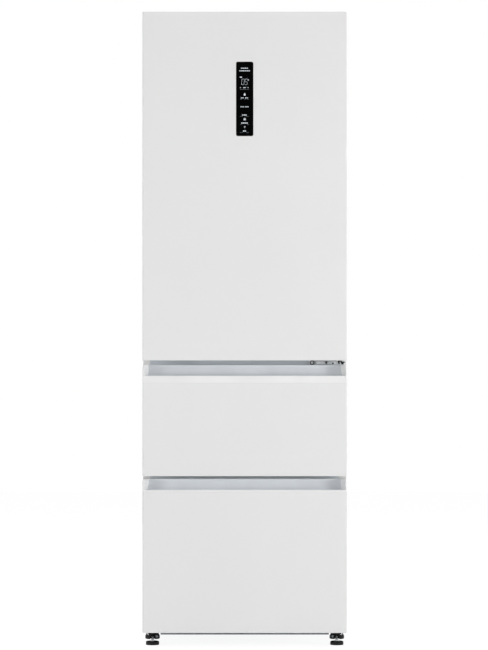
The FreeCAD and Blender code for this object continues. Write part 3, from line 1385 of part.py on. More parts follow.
def make_drawer_skin(z, band, corner):
    """Folded front sheet of a drawer: face, two sides and underside."""
    top = grip_levels(z[1])[0] - band
    low = z[0] + SHEET
    outer = round_feet(front_block(0.0, Y_SEAL, (z[0], top)), 0.0, z[0], corner)
    return outer.cut(round_feet(front_block(SHEET, Y_SEAL, (low, top)), SHEET, low, corner))


def drawer_plug(z, opening, inset):
    """Part of the drawer liner that enters the opening; inset gives its core."""
    top = min(opening[1] - PLUG_CLEAR, cap_bottom(z[1]) - PLUG_TOP_ROOM)
    x = wide(FREEZER_HALF - PLUG_CLEAR - inset)
    low = Y_SEAL if inset == 0 else Y_SEAL - LINER
    return box(x, (low, Y_PLUG - inset), (opening[0] + PLUG_CLEAR + inset, top - inset))


def make_drawer_liner(z, opening, corner):
    """Inner face of a drawer front with its plug."""
    low = z[0] + SHEET
    plate = box(wide(X_SKIN), (Y_SEAL - LINER, Y_SEAL), (low, cap_bottom(z[1])))
    plate = round_feet(plate, SHEET, low, corner)
    return fuse(plate, drawer_plug(z, opening, 0.0)).cut(drawer_plug(z, opening, LINER))


def make_drawer_foam(z, opening, corner):
    """Foam inside a drawer front and its plug."""
    low = z[0] + SHEET
    block = front_block(SHEET, Y_SEAL - LINER, (low, cap_bottom(z[1])))
    block = round_feet(block, SHEET, low, corner)
    return fuse(block, drawer_plug(z, opening, LINER))


def make_basket(opening, mid, stepped):
    """Drawer basket hung by its rim on the two arms."""
    rim_low = mid + ARM_HALF
    top = rim_low + BASKET_RIM
    low = opening[0] + BASKET_AIR
    front = Y_PLUG + BASKET_FRONT_GAP
    rear = Y_RUNNER[1] + BASKET_OVERHANG
    foot = Y_STEP - BASKET_AIR if stepped else rear
    ledge = Z_STEP + BASKET_AIR

    def section(inset, lid):
        points = [(front + inset, low + inset), (foot - inset, low + inset)]
        if stepped:
            points += [(foot - inset, ledge + inset), (rear - inset, ledge + inset)]
        return points + [(rear - inset, lid), (front + inset, lid)]

    outer = prism_x(section(0.0, top), wide(BASKET_HALF))
    inner = prism_x(section(BASKET_WALL, top + OVERCUT), wide(BASKET_HALF - BASKET_WALL))
    outer = round_edges(outer, BASKET_RADIUS, lambda c, d: is_upright(d))
    inner = round_edges(inner, BASKET_RADIUS - BASKET_WALL, lambda c, d: is_upright(d))
    rim = box(wide(X_WEB_INNER - RIM_GAP), (front + RIM_SETBACK, rear), (rim_low, top))
    rim = rim.cut(outer)
    return fuse(outer.cut(inner), rim)


def build_nodes():
    """Every node of the refrigerator by name."""
    nodes = {
        "outer_shell": make_outer_shell(),
        "back_panel": make_back_panel(),
        "base_pan": make_base_pan(),
        "fridge_liner": make_fridge_liner(),
        "freezer_liner": make_freezer_liner(),
        "cabinet_foam": make_cabinet_foam(),
        "mullion_rails": make_mullion_rails(),
        "top_hinge": make_top_hinge(),
        "top_hinge_cover": make_top_hinge_cover(),
        "middle_hinge": make_middle_hinge(),
        "cabinet_screws": make_cabinet_screws(),
        "glass_shelves": make_glass_shelves(),
        "shelf_trims": make_shelf_trims(),
        "air_duct": make_air_duct(),
        "fridge_light": make_fridge_light(),
        "freezer_air_panel": make_freezer_air_panel(),
        "evaporator": make_evaporator(),
        "fan_motor": make_fan_motor(),
        "evaporator_fan": make_evaporator_fan(),
        "outer_runners": make_outer_runners(),
        "compressor": make_compressor(),
        "condenser_tubes": make_condenser_tubes(),
        "drip_tray": make_drip_tray(),
        "rear_cover": make_rear_cover(),
        "chassis_brackets": make_chassis_brackets(),
        "power_inlet": make_power_inlet(),
        "rear_rollers": make_rear_rollers(),
        "left_foot": make_foot(-1),
        "right_foot": make_foot(1),
        "crisper": make_crisper(),
        "door_skin": make_door_skin(),
        "door_top_cap": make_door_top_cap(),
        "door_bottom_cap": make_door_bottom_cap(),
        "door_liner": make_door_liner(),
        "door_foam": make_door_foam(),
        "door_gasket": seal((Z_DOOR[0] + SEAL_INSET, Z_ROOF - SEAL_INSET)),
        "control_glass": make_control_glass(),
        "control_board": make_control_board(),
        "door_bushings": make_door_bushings(),
        "door_bin_bottom": make_door_bin(0),
        "door_bin_middle": make_door_bin(1),
        "door_bin_top": make_door_bin(2),
    }
    drawers = (
        ("upper", Z_UPPER, UPPER_OPENING, UPPER_BAND, UPPER_CORNER, Z_UPPER_RUNNER, False),
        ("lower", Z_LOWER, LOWER_OPENING, LOWER_BAND, LOWER_CORNER, Z_LOWER_RUNNER, True),
    )
    for name, z, opening, band, corner, mid, stepped in drawers:
        nodes[name + "_drawer_skin"] = make_drawer_skin(z, band, corner)
        nodes[name + "_drawer_cap"] = make_drawer_cap(z, band)
        nodes[name + "_drawer_grip"] = make_drawer_grip(z[1])
        nodes[name + "_drawer_liner"] = make_drawer_liner(z, opening, corner)
        nodes[name + "_drawer_foam"] = make_drawer_foam(z, opening, corner)
        nodes[name + "_drawer_gasket"] = seal((z[0] + SEAL_INSET, z[1] - SEAL_INSET))
        nodes[name + "_drawer_basket"] = make_basket(opening, mid, stepped)
        nodes[name + "_drawer_arms"] = make_drawer_arms(mid)
        nodes[name + "_middle_runners"] = make_middle_runners(mid)
    return nodes


os.makedirs("parts", exist_ok=True)
for node, shape in build_nodes().items():
    shape.exportStep("parts/" + node + ".step")
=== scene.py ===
"""Looks of a tall white refrigerator: one wide door over two freezer drawers.

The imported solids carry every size. This script dresses them, puts formed meshes where the real
piece is moulded, blown or extruded, and sets up the studio. Sizes are in millimetres of the part
frame, with x to the hinge side, y to the back and z up. Only the studio's are in metres.
"""

from __future__ import annotations

import logging
import math
from dataclasses import dataclass
from enum import Enum

import bmesh
import bpy
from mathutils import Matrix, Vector

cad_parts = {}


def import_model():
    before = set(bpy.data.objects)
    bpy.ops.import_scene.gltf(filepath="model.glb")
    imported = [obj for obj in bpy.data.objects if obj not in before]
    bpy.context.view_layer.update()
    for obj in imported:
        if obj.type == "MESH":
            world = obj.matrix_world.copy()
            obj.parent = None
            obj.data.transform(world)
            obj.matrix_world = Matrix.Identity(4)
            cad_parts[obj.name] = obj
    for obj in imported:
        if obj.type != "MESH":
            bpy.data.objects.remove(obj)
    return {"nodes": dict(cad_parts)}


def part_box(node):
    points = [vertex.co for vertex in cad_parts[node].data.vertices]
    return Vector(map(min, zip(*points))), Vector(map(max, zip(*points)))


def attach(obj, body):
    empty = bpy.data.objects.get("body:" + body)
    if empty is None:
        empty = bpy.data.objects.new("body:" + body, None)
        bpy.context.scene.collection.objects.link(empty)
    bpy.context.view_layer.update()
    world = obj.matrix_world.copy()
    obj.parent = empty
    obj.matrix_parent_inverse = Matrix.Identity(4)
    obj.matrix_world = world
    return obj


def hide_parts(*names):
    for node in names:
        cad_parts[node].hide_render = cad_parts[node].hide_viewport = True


LOG = logging.getLogger("refrigerator")
MM = 0.001
# Edges that turn more than this stay sharp on a formed mesh, or are broken on a solid.
SHARP_TURN = math.radians(38)
BROKEN_TURN = math.radians(40)
# Faces of a solid that turn less than this become one flat face, because a bevel needs it whole.
FLAT_TURN = math.radians(1)
# Points that lie closer than this, on a formed mesh or on a solid, become one.
FORM_WELD = 0.002
SOLID_WELD = 0.01
# How many pieces a rounded corner and a broken edge have.
CORNER_STEPS = 5
EDGE_STEPS = 2
# The smallest round that is drawn. The largest takes a little less than half of the shorter side.
LEAST_ROUND = 0.3
NEARLY_HALVED = 2.001
# Sides of a screw head, of a small turned piece and of a nut.
SCREW_SIDES = 20
SMALL_SIDES = 16
NUT_SIDES = 6
# The part of a noise's range that is spread over a finish's colours, and over its roughness.
CLOUD_RANGE = (0.3, 0.7)
RELIEF_RANGE = (0.25, 0.75)
NOISE_DETAIL = 2.0
COAT_ROUGHNESS = 0.08
# Front of the step that the machine space makes in the freezer, along y.
STEP_FRONT = 61.5

Point = tuple[float, float, float]
Flat = tuple[float, float]
Span = tuple[float, float]
Row = tuple[float, float, tuple[Span, ...]]

# A domed screw head with its drive hole: radius and height of each step, in shares of its radius.
SCREW_DOME: tuple[Flat, ...] = ((1.0, 0.0), (1.0, 0.25), (0.9, 0.42), (0.7, 0.52), (0.42, 0.55),
                                (0.36, 0.5), (0.3, 0.2))
# Where each stroke of a digit starts and ends, in widths across and half heights up. They run from a
# at the top round to f, with g across the middle.
STROKES: dict[str, tuple[Flat, Flat]] = {
    "a": ((0, 2), (1, 2)), "b": ((1, 1), (1, 2)), "c": ((1, 0), (1, 1)), "d": ((0, 0), (1, 0)),
    "e": ((0, 0), (0, 1)), "f": ((0, 1), (0, 2)), "g": ((0, 1), (1, 1)),
}


def linear(code: str) -> tuple[float, float, float, float]:
    """Turn an sRGB hex colour into linear light.

    Args:
        code: A hash and six hex digits.

    Returns:
        Red, green and blue in linear light, and a full alpha.
    """
    parts = [int(code[i:i + 2], 16) / 255 for i in (1, 3, 5)]
    red, green, blue = [p / 12.92 if p <= 0.04045 else ((p + 0.055) / 1.055) ** 2.4 for p in parts]
    return red, green, blue, 1.0


def per_metre(size: float) -> float:
    """Give the texture scale at which one feature is size millimetres across."""
    return 1 / (size * MM)


def add(tree: bpy.types.NodeTree, kind: str, settings: dict | None = None,
        inputs: dict | None = None) -> bpy.types.Node:
    """Add one node to a tree, with its settings and links.

    Args:
        tree: The tree that the node joins.
        kind: The node's type.
        settings: Its properties, by name.
        inputs: What its inputs take, by name or number: an output to link, or a value.

    Returns:
        The new node.
    """
    node = tree.nodes.new(kind)
    for name, value in (settings or {}).items():
        setattr(node, name, value)
    for key, value in (inputs or {}).items():
        if isinstance(value, bpy.types.NodeSocket):
            tree.links.new(value, node.inputs[key])
        else:
            node.inputs[key].default_value = value
    return node


class Pattern(Enum):
    """What the relief of a surface is made of."""

    GRAIN = "soft bumps of paint and moulded plastic"
    SPANGLE = "flat crystals of hot-dipped zinc"
    CELLS = "round cells of blown foam"


@dataclass(frozen=True)
class Finish:
    """A real material with the surface that its making left on it.

    In millimetres, patch is the width of its clouds of colour, grain the width of one feature of its
    relief and relief how deep these are. gloss is the roughness from the lows to the highs.
    """

    name: str
    light: str
    dark: str
    patch: float
    grain: float
    relief: float
    gloss: Span
    pattern: Pattern = Pattern.GRAIN
    stretch: Point = (1.0, 1.0, 1.0)
    metallic: float = 0.0
    ior: float = 1.5
    coat: float = 0.0
    clear: float = 0.0
    glow: float = 0.0

    def material(self) -> bpy.types.Material:
        """Build the finish as nodes the first time it is asked for.

        Returns:
            The material.
        """
        made = bpy.data.materials.get(self.name)
        if made is not None:
            return made
        made = bpy.data.materials.new(self.name)
        made.use_nodes = True
        tree = made.node_tree
        tree.nodes.clear()
        place = add(tree, "ShaderNodeTexCoord").outputs["Object"]
        height = self._drawn(tree, place)
        patches = add(tree, "ShaderNodeTexNoise",
                      inputs={"Vector": place, "Scale": per_metre(self.patch), "Detail": NOISE_DETAIL})
        cloud = patches.outputs["Fac"]
        if self.pattern is Pattern.SPANGLE:
            cloud = height
        tone = add(tree, "ShaderNodeMapRange",
                   inputs={"Value": cloud, "From Min": CLOUD_RANGE[0], "From Max": CLOUD_RANGE[1]})
        colour = add(tree, "ShaderNodeMix", {"data_type": "RGBA"},
                     {0: tone.outputs[0], 6: linear(self.dark), 7: linear(self.light)})
        rough = add(tree, "ShaderNodeMapRange",
                    inputs={"Value": height, "From Min": RELIEF_RANGE[0], "From Max": RELIEF_RANGE[1],
                            "To Min": self.gloss[0], "To Max": self.gloss[1]})
        bump = add(tree, "ShaderNodeBump",
                   inputs={"Height": height, "Distance": self.relief * MM, "Strength": 1.0})
        shader = add(tree, "ShaderNodeBsdfPrincipled",
                     inputs={"Base Color": colour.outputs[2], "Roughness": rough.outputs[0],
                             "Normal": bump.outputs[0], "Metallic": self.metallic, "IOR": self.ior,
                             "Coat Weight": self.coat, "Coat Roughness": COAT_ROUGHNESS,
                             "Transmission Weight": self.clear, "Emission Strength": self.glow,
                             "Emission Color": linear(self.light)})
        add(tree, "ShaderNodeOutputMaterial", inputs={"Surface": shader.outputs[0]})
        return made

    def _drawn(self, tree: bpy.types.NodeTree, place: bpy.types.NodeSocket) -> bpy.types.NodeSocket:
        """Draw the relief of the surface.

        Args:
            tree: The material's tree.
            place: The point on the piece, in metres of the part frame.

        Returns:
            The height of the relief, from 0 to 1.
        """
        run = add(tree, "ShaderNodeMapping", inputs={"Vector": place, "Scale": self.stretch})
        spread = {"Vector": run.outputs[0], "Scale": per_metre(self.grain)}
        if self.pattern is Pattern.GRAIN:
            noise = add(tree, "ShaderNodeTexNoise", inputs={**spread, "Detail": NOISE_DETAIL})
            return noise.outputs["Fac"]
        cells = add(tree, "ShaderNodeTexVoronoi", inputs=spread)
        return cells.outputs["Color" if self.pattern is Pattern.SPANGLE else "Distance"]


# Powder paint on the steel fronts: an even, neutral white with a soft broad sheen. Its
# orange peel is about 2 mm across, drawn at 7 mm so that it shows in the render.
FRONT_PAINT = Finish("powder_painted_steel_front", "#E4E4E4", "#E2E2E2", 420, 7, 0.008, (0.34, 0.42))
# The same paint on rolled, stippled side sheet: a duller sheen broken up by small pits. The
# stipple is 1.5 mm, drawn at 5 mm to show.
SIDE_PAINT = Finish("stippled_painted_steel_sheet", "#E3E3E2", "#DEDEDD", 300, 5, 0.05, (0.42, 0.55))
# Hot-dipped zinc: flat crystals about 12 mm across that catch the light one by one.
GALVANISED = Finish("galvanised_steel_sheet", "#B9BDC0", "#ABB0B3", 80, 12, 0.004, (0.4, 0.54),
                    Pattern.SPANGLE, metallic=1.0)
# Polystyrene drawn into a heated tub: glossy white with slow waves left by the drawing.
LINER = Finish("vacuum_formed_polystyrene", "#F0F0EE", "#EDEDEB", 160, 45, 0.03, (0.26, 0.32))
# Moulded ABS: satin white with a fine spark-eroded grain of 0.5 mm, drawn at 3 mm to show.
WHITE_ABS = Finish("moulded_abs_white", "#ECECEC", "#E6E6E6", 120, 3, 0.01, (0.36, 0.48))
# Silver paint over moulded ABS: small metal flakes give a cool grey with a wide highlight.
SILVER_ABS = Finish("silver_painted_abs", "#DADEE2", "#D2D6DB", 90, 4, 0.006, (0.38, 0.5),
                    metallic=0.12)
# Zinc sheet left bare under the cabinet, duller than the galvanised back, with its crystals still there.
# Its blue-grey is drawn darker than the back's as painted shade for its place under the cabinet.
ZINC_WITH_PAINTED_SHADE = Finish("zinc_coated_sheet_with_painted_shade", "#8C9499", "#7C8489", 80, 12, 0.004, (0.5, 0.62),
                   Pattern.SPANGLE, metallic=0.5)
# Grey stove enamel on the rails between the compartments: dull, flat and a little bluish.
RAIL_PAINT = Finish("grey_enamelled_steel_rail", "#CED5DB", "#C3CAD0", 140, 6, 0.01, (0.4, 0.52))
# Bright zinc plate on pressings: grey-white metal with rolling lines 3 mm apart along x.
PLATED = Finish("zinc_plated_pressed_steel", "#C9CAC9", "#A9ABAB", 40, 3, 0.006, (0.26, 0.42),
                stretch=(0.08, 1.0, 1.0), metallic=1.0)
# Zinc plate on small steel, passivated to a whitish blue and mostly dull. Its colour is also drawn lighter
# than the plated pressings as painted light, so that it stays bright in shade.
ZINC_WITH_PAINTED_LIGHT = Finish("passivated_zinc_with_painted_light", "#E6E9EB", "#D2D6D9", 12, 3, 0.01, (0.4, 0.54),
                     metallic=0.25)
# Steel dipped in black paint: thick, smooth and shiny, with runs some 20 mm wide.
BLACK_STEEL = Finish("black_dipped_steel", "#1B1C1E", "#121315", 60, 20, 0.05, (0.24, 0.36), coat=0.3)
# Polypropylene moulded black: dull, with a spark grain of 0.8 mm, drawn at 3 mm to show.
BLACK_PP = Finish("moulded_black_polypropylene", "#0C0D0E", "#070808", 50, 3, 0.03, (0.54, 0.7),
                  ior=1.4)
# Extruded soft PVC: matt pale grey that shows faint lines of the die.
SEAL_PVC = Finish("extruded_soft_pvc_seal", "#C3C6C7", "#B4B8BA", 60, 4, 0.02, (0.5, 0.62))
# Polystyrene moulded clear: water-white with a faint blue edge and flow waves.
CLEAR_PS = Finish("moulded_clear_polystyrene", "#F6FAFC", "#ECF4F7", 120, 30, 0.03, (0.04, 0.1),
                  ior=1.59, clear=0.86)
# Float glass, cut and toughened: clear on its faces, with the green of iron through its edges.
SHELF_GLASS = Finish("toughened_float_glass", "#EAF5F1", "#DDEFE8", 200, 60, 0.01, (0.01, 0.04),
                     ior=1.52, clear=0.96)
# Glass printed black on its back: a deep black with one clear, sharp surface gloss.
BLACK_GLASS = Finish("back_printed_black_glass", "#040505", "#030303", 60, 40, 0.002, (0.06, 0.1),
                     ior=1.45)
# White marks lit from behind through gaps in the print: they glow a little.
LIT_PRINT = Finish("backlit_white_print", "#B4BBC0", "#9CA3A8", 8, 3, 0.002, (0.4, 0.5), glow=0.5)
# The same print with its light turned down.
DIM_PRINT = Finish("unlit_grey_print", "#52575B", "#44494D", 8, 3, 0.002, (0.4, 0.5), glow=0.06)
# Glass fibre and epoxy under green lacquer, with the weave of its cloth drawn at 3 mm.
BOARD = Finish("lacquered_epoxy_board", "#1E6A3B", "#174F2D", 20, 3, 0.02, (0.3, 0.42))
# Rigid polyurethane foam: straw-coloured, with round cells drawn at 3 mm.
FOAM = Finish("blown_polyurethane_foam", "#E0CF9A", "#CDB87C", 40, 3, 0.3, (0.8, 0.9), Pattern.CELLS)
# Aluminium foil fins and tubes: bright, with rolling lines that run up them.
ALUMINIUM = Finish("rolled_aluminium_fin", "#D2D4D6", "#B9BCBF", 30, 3, 0.008, (0.25, 0.4),
                   stretch=(1.0, 1.0, 0.08), metallic=1.0)
# Opal acrylic with a light behind it: milky, even and softly shiny.
OPAL = Finish("opal_moulded_acrylic", "#FBFAF4", "#F4F2EA", 60, 10, 0.02, (0.2, 0.3), glow=1.6)
# Acetal bushes: waxy off-white with a faint mould grain.
ACETAL = Finish("moulded_acetal", "#D0CDC4", "#C2BFB5", 20, 3, 0.01, (0.34, 0.44))


class Plane(Enum):
    """The plane that an outline is drawn in. Its third axis is the one that the form grows along."""

    XY = (0, 1, 2)
    XZ = (0, 2, 1)
    YZ = (1, 2, 0)

    def point(self, u: float, v: float, w: float) -> Point:
        """Place a drawn point in the part frame.

        Args:
            u: Along the outline's first axis.
            v: Along its second axis.
            w: Along the axis that the form grows in.

        Returns:
            x, y and z.
        """
        spot = [0.0, 0.0, 0.0]
        for axis, value in zip(self.value, (u, v, w)):
            spot[axis] = value
        return spot[0], spot[1], spot[2]


@dataclass(frozen=True)
class Level:
    """One rounded rectangle of a stacked form, at w along the axis that the form grows in."""

    w: float
    u: Span
    v: Span
    radius: float = 1.0

    def inset(self, step: float, w: float | None = None) -> Level:
        """Draw the same rectangle smaller all round.

        Args:
            step: How far its sides move in. A negative step moves them out.
            w: Its place along the axis, where that changes.

        Returns:
            The new rectangle, with corners that stay parallel to the old ones.
        """
        return Level(self.w if w is None else w, (self.u[0] + step, self.u[1] - step),
                     (self.v[0] + step, self.v[1] - step), max(self.radius - step, LEAST_ROUND))

    def outline(self) -> list[Flat]:
        """Draw the rectangle.

        Returns:
            Its points, in order.
        """
        shorter = min(self.u[1] - self.u[0], self.v[1] - self.v[0])
        r = min(self.radius, shorter / NEARLY_HALVED)
        corners = ((self.u[1] - r, self.v[1] - r), (self.u[0] + r, self.v[1] - r),
                   (self.u[0] + r, self.v[0] + r), (self.u[1] - r, self.v[0] + r))
        drawn = []
        for i, corner in enumerate(corners):
            drawn += arc(corner, r, 90 * i, 90 * (i + 1), CORNER_STEPS)
        return drawn


def arc(centre: Flat, radius: float, start: float, end: float, steps: int = 12) -> list[Flat]:
    """Draw points along an arc.

    Args:
        centre: Of the arc.
        radius: Of the arc.
        start: Where it starts, in degrees.
        end: Where it ends.
        steps: How many pieces it has.

    Returns:
        Its points, in order.
    """
    turns = [math.radians(start + (end - start) * i / steps) for i in range(steps + 1)]
    return [(centre[0] + radius * math.cos(t), centre[1] + radius * math.sin(t)) for t in turns]


def quarter(radius: float) -> list[Flat]:
    """Draw a quarter of a round as pairs of run and rise, from level to upright."""
    return arc((0.0, radius), radius, -90, 0, CORNER_STEPS)


def even(left: float, right: float, count: int, gap: float = 0.9) -> tuple[Span, ...]:
    """Share a row among bars of one length.

    Args:
        left: Where the row starts.
        right: Where it ends.
        count: How many bars it has.
        gap: Between two bars.

    Returns:
        Where each bar starts and ends.
    """
    pitch = (right - left + gap) / count
    return tuple((left + i * pitch, left + (i + 1) * pitch - gap) for i in range(count))


class Form:
    """A mesh in the making, in millimetres of the part frame."""

    def __init__(self, name: str, *finishes: Finish) -> None:
        """Start an empty mesh.

        Args:
            name: The piece's name.
            finishes: What it wears. New faces wear the first one until wear is called.
        """
        self.name = name
        self.finishes = finishes
        self.worn = 0
        self.mesh = bmesh.new()

    def wear(self, finish: Finish) -> Form:
        """Give the faces that come next one of the form's finishes."""
        self.worn = self.finishes.index(finish)
        return self

    def skin(self, rings: list[list[Point]], ends: bool = True, loop: bool = False) -> None:
        """Join rings of points with faces.

        Args:
            rings: Rings with the same number of points each.
            ends: Whether the first and last ring are closed with a face.
            loop: Whether the last ring joins the first.
        """
        grid = [[self.mesh.verts.new(Vector(p) * MM) for p in ring] for ring in rings]
        faces = []
        for low, high in zip(grid, grid[1:] + grid[:1] if loop else grid[1:]):
            for i, corner in enumerate(low):
                j = (i + 1) % len(low)
                faces.append((corner, low[j], high[j], high[i]))
        if ends and not loop:
            faces += [tuple(reversed(grid[0])), tuple(grid[-1])]
        for corners in faces:
            self.mesh.faces.new(corners).material_index = self.worn

    def stack(self, plane: Plane, levels: list[Level], ends: bool = True, loop: bool = False) -> None:
        """Join rounded rectangles that lie one behind the other.

        Args:
            plane: The plane that they are drawn in.
            levels: The rectangles, in order.
            ends: Whether the first and last are closed.
            loop: Whether the last joins the first.
        """
        self.skin([[plane.point(u, v, level.w) for u, v in level.outline()] for level in levels],
                  ends, loop)

    def prism(self, plane: Plane, outline: list[Flat], span: Span) -> None:
        """Draw an outline out along the third axis.

        Args:
            plane: The plane of the outline.
            outline: Its points.
            span: Where along the third axis it starts and ends.
        """
        self.skin([[plane.point(u, v, w) for u, v in outline] for w in span])

    def turned(self, plane: Plane, centre: Flat, profile: list[Flat], steps: int = 32,
               flutes: float = 0.0) -> None:
        """Turn a profile round an axis.

        Args:
            plane: The plane across the axis.
            centre: Where the axis crosses it.
            profile: Pairs of radius and place along the axis.
            steps: How many sides the form has.
            flutes: How much every second point is cut back.
        """
        rings = []
        for radius, w in profile:
            ring = []
            for i in range(steps):
                turn = math.tau * i / steps
                r = radius - flutes * (i % 2)
                ring.append(plane.point(centre[0] + r * math.cos(turn),
                                        centre[1] + r * math.sin(turn), w))
            rings.append(ring)
        self.skin(rings)

    def screw(self, plane: Plane, centre: Flat, face: float, out: float, radius: float = 4.0) -> None:
        """Set a domed screw head with a drive hole on a face.

        Args:
            plane: The plane of the face.
            centre: Where the screw sits on it.
            face: Where the face lies along the third axis.
            out: Which way the head stands out, 1 or -1.
            radius: Of the head.
        """
        dome = [(radius * r, face + out * radius * h) for r, h in SCREW_DOME]
        self.turned(plane, centre, dome, SCREW_SIDES)

    def piece(self, body: str, slot: str, *nodes: str) -> None:
        """Make the mesh a piece of the refrigerator.

        Args:
            body: The body that it rides.
            slot: The record's material slot of the piece; not used.
            nodes: CAD nodes that it stands for.
        """
        bmesh.ops.remove_doubles(self.mesh, verts=self.mesh.verts, dist=FORM_WELD * MM)
        bmesh.ops.recalc_face_normals(self.mesh, faces=self.mesh.faces)
        data = bpy.data.meshes.new(self.name)
        self.mesh.to_mesh(data)
        self.mesh.free()
        data.polygons.foreach_set("use_smooth", [True] * len(data.polygons))
        data.set_sharp_from_angle(angle=SHARP_TURN)
        for finish in self.finishes:
            data.materials.append(finish.material())
        made = bpy.data.objects.new(self.name, data)
        bpy.context.scene.collection.objects.link(made)
        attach(made, body)
        if nodes:
            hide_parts(*nodes)
        LOG.info("%s: %d faces, rides %s", self.name, len(data.polygons), body)


@dataclass
class Assembly:
    """A sub-assembly: the CAD nodes that it dresses and the body that its own pieces ride."""

    nodes: dict[str, bpy.types.Object]
    body: str

    def dress(self, finish: Finish, *names: str, edge: float = 0.0) -> None:
        """Give CAD nodes their finish and break their sharp edges.

        Args:
            finish: What they wear.
            names: The nodes.
            edge: Width of the broken edges. At 0 they stay as cut.
        """
        for name in names:
            node = self.nodes[name]
            for place in node.material_slots:
                place.link = "OBJECT"
                place.material = finish.material()
            if edge:
                node.modifiers.new("joined", "WELD").merge_threshold = SOLID_WELD * MM
                flat = node.modifiers.new("flat", "DECIMATE")
                flat.decimate_type = "DISSOLVE"
                flat.angle_limit = FLAT_TURN
                broken = node.modifiers.new("broken_edges", "BEVEL")
                broken.width = edge * MM
                broken.segments = EDGE_STEPS
                broken.limit_method = "ANGLE"
                broken.angle_limit = BROKEN_TURN
                node.modifiers.new("shading", "WEIGHTED_NORMAL").keep_sharp = False
            LOG.info("%s: %s", name, finish.name)

    def extent(self, node: str) -> tuple[Span, Span, Span]:
        """Read where a CAD node lies.

        Args:
            node: Its name.

        Returns:
            Its spans along x, y and z.
        """
        low, high = (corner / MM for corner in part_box(node))
        return (low.x, high.x), (low.y, high.y), (low.z, high.z)

    def axis(self, node: str) -> Flat:
        """Give x and y of the upright axis of a round CAD node."""
        x, y, _ = self.extent(node)
        return sum(x) / 2, sum(y) / 2


@dataclass
class Seal(Assembly):
    """A magnetic door seal: a soft bellows that runs round the back of a front.

    bellows is its section, from its outer side inwards and from the liner outwards, in shares of its
    width and depth.
    """

    node: str
    bellows: tuple[Flat, ...] = ((0.06, 0.0), (0.0, 0.09), (0.1, 0.24), (0.02, 0.42), (0.0, 0.6),
                                 (0.04, 0.82), (0.12, 1.0), (0.88, 1.0), (0.96, 0.82), (1.0, 0.6),
                                 (0.98, 0.42), (0.9, 0.24), (1.0, 0.09), (0.94, 0.0))
    width: float = 14.0
    corner: float = 5.0

    def build(self) -> None:
        """Run the bellows round the front, from its root in the liner to its magnet face."""
        x, y, z = self.extent(self.node)
        rim = Level(y[0], x, z, self.corner)
        rings = [rim.inset(self.width * u, y[0] + (y[1] - y[0]) * w) for u, w in self.bellows]
        form = Form(self.node + "_bellows", SEAL_PVC)
        form.stack(Plane.XZ, rings, loop=True)
        form.piece(self.body, "seal_rubber", self.node)


@dataclass(frozen=True)
class Tub:
    """An open moulded tub with a turned-out rim.

    draft is how far its walls lean in from rim to bottom, and rim how far the rim stands out and how
    tall it is. rim_round and mouth are the rounds over the rim, as steps inwards and down from its top.
    """

    wall: float
    corner: float
    draft: float
    rim: Span
    low_round: float = 12.0
    rim_under: float = 0.6
    rim_round: tuple[Flat, ...] = ((0.0, 1.0), (0.5, 0.2), (1.0, 0.0))
    mouth: Flat = (0.6, 0.8)

    def mould(self, form: Form, x: Span, y: Span, z: Span) -> None:
        """Mould the tub from its bottom up over the rim, and down again inside.

        Args:
            form: The form that it joins.
            x: Its span along x, over the rim.
            y: Its span along y, over the rim.
            z: Its bottom and the top of its rim.
        """
        out, tall = self.rim
        low, high = z
        top = Level(high, x, y, self.corner)
        foot = top.inset(out + self.draft)
        outer = [foot.inset(self.low_round - run, low + rise) for run, rise in quarter(self.low_round)]
        outer += [top.inset(out, high - tall), top.inset(0.0, high - tall + self.rim_under)]
        outer += [top.inset(step, high - drop) for step, drop in self.rim_round]
        edge = out + self.wall
        inner = [top.inset(edge - self.mouth[0]), top.inset(edge, high - self.mouth[1])]
        inside = foot.inset(self.wall)
        inner_round = self.low_round - self.wall
        inner += [inside.inset(inner_round - run, low + self.wall + rise)
                  for run, rise in reversed(quarter(inner_round))]
        form.stack(Plane.XY, outer + inner)


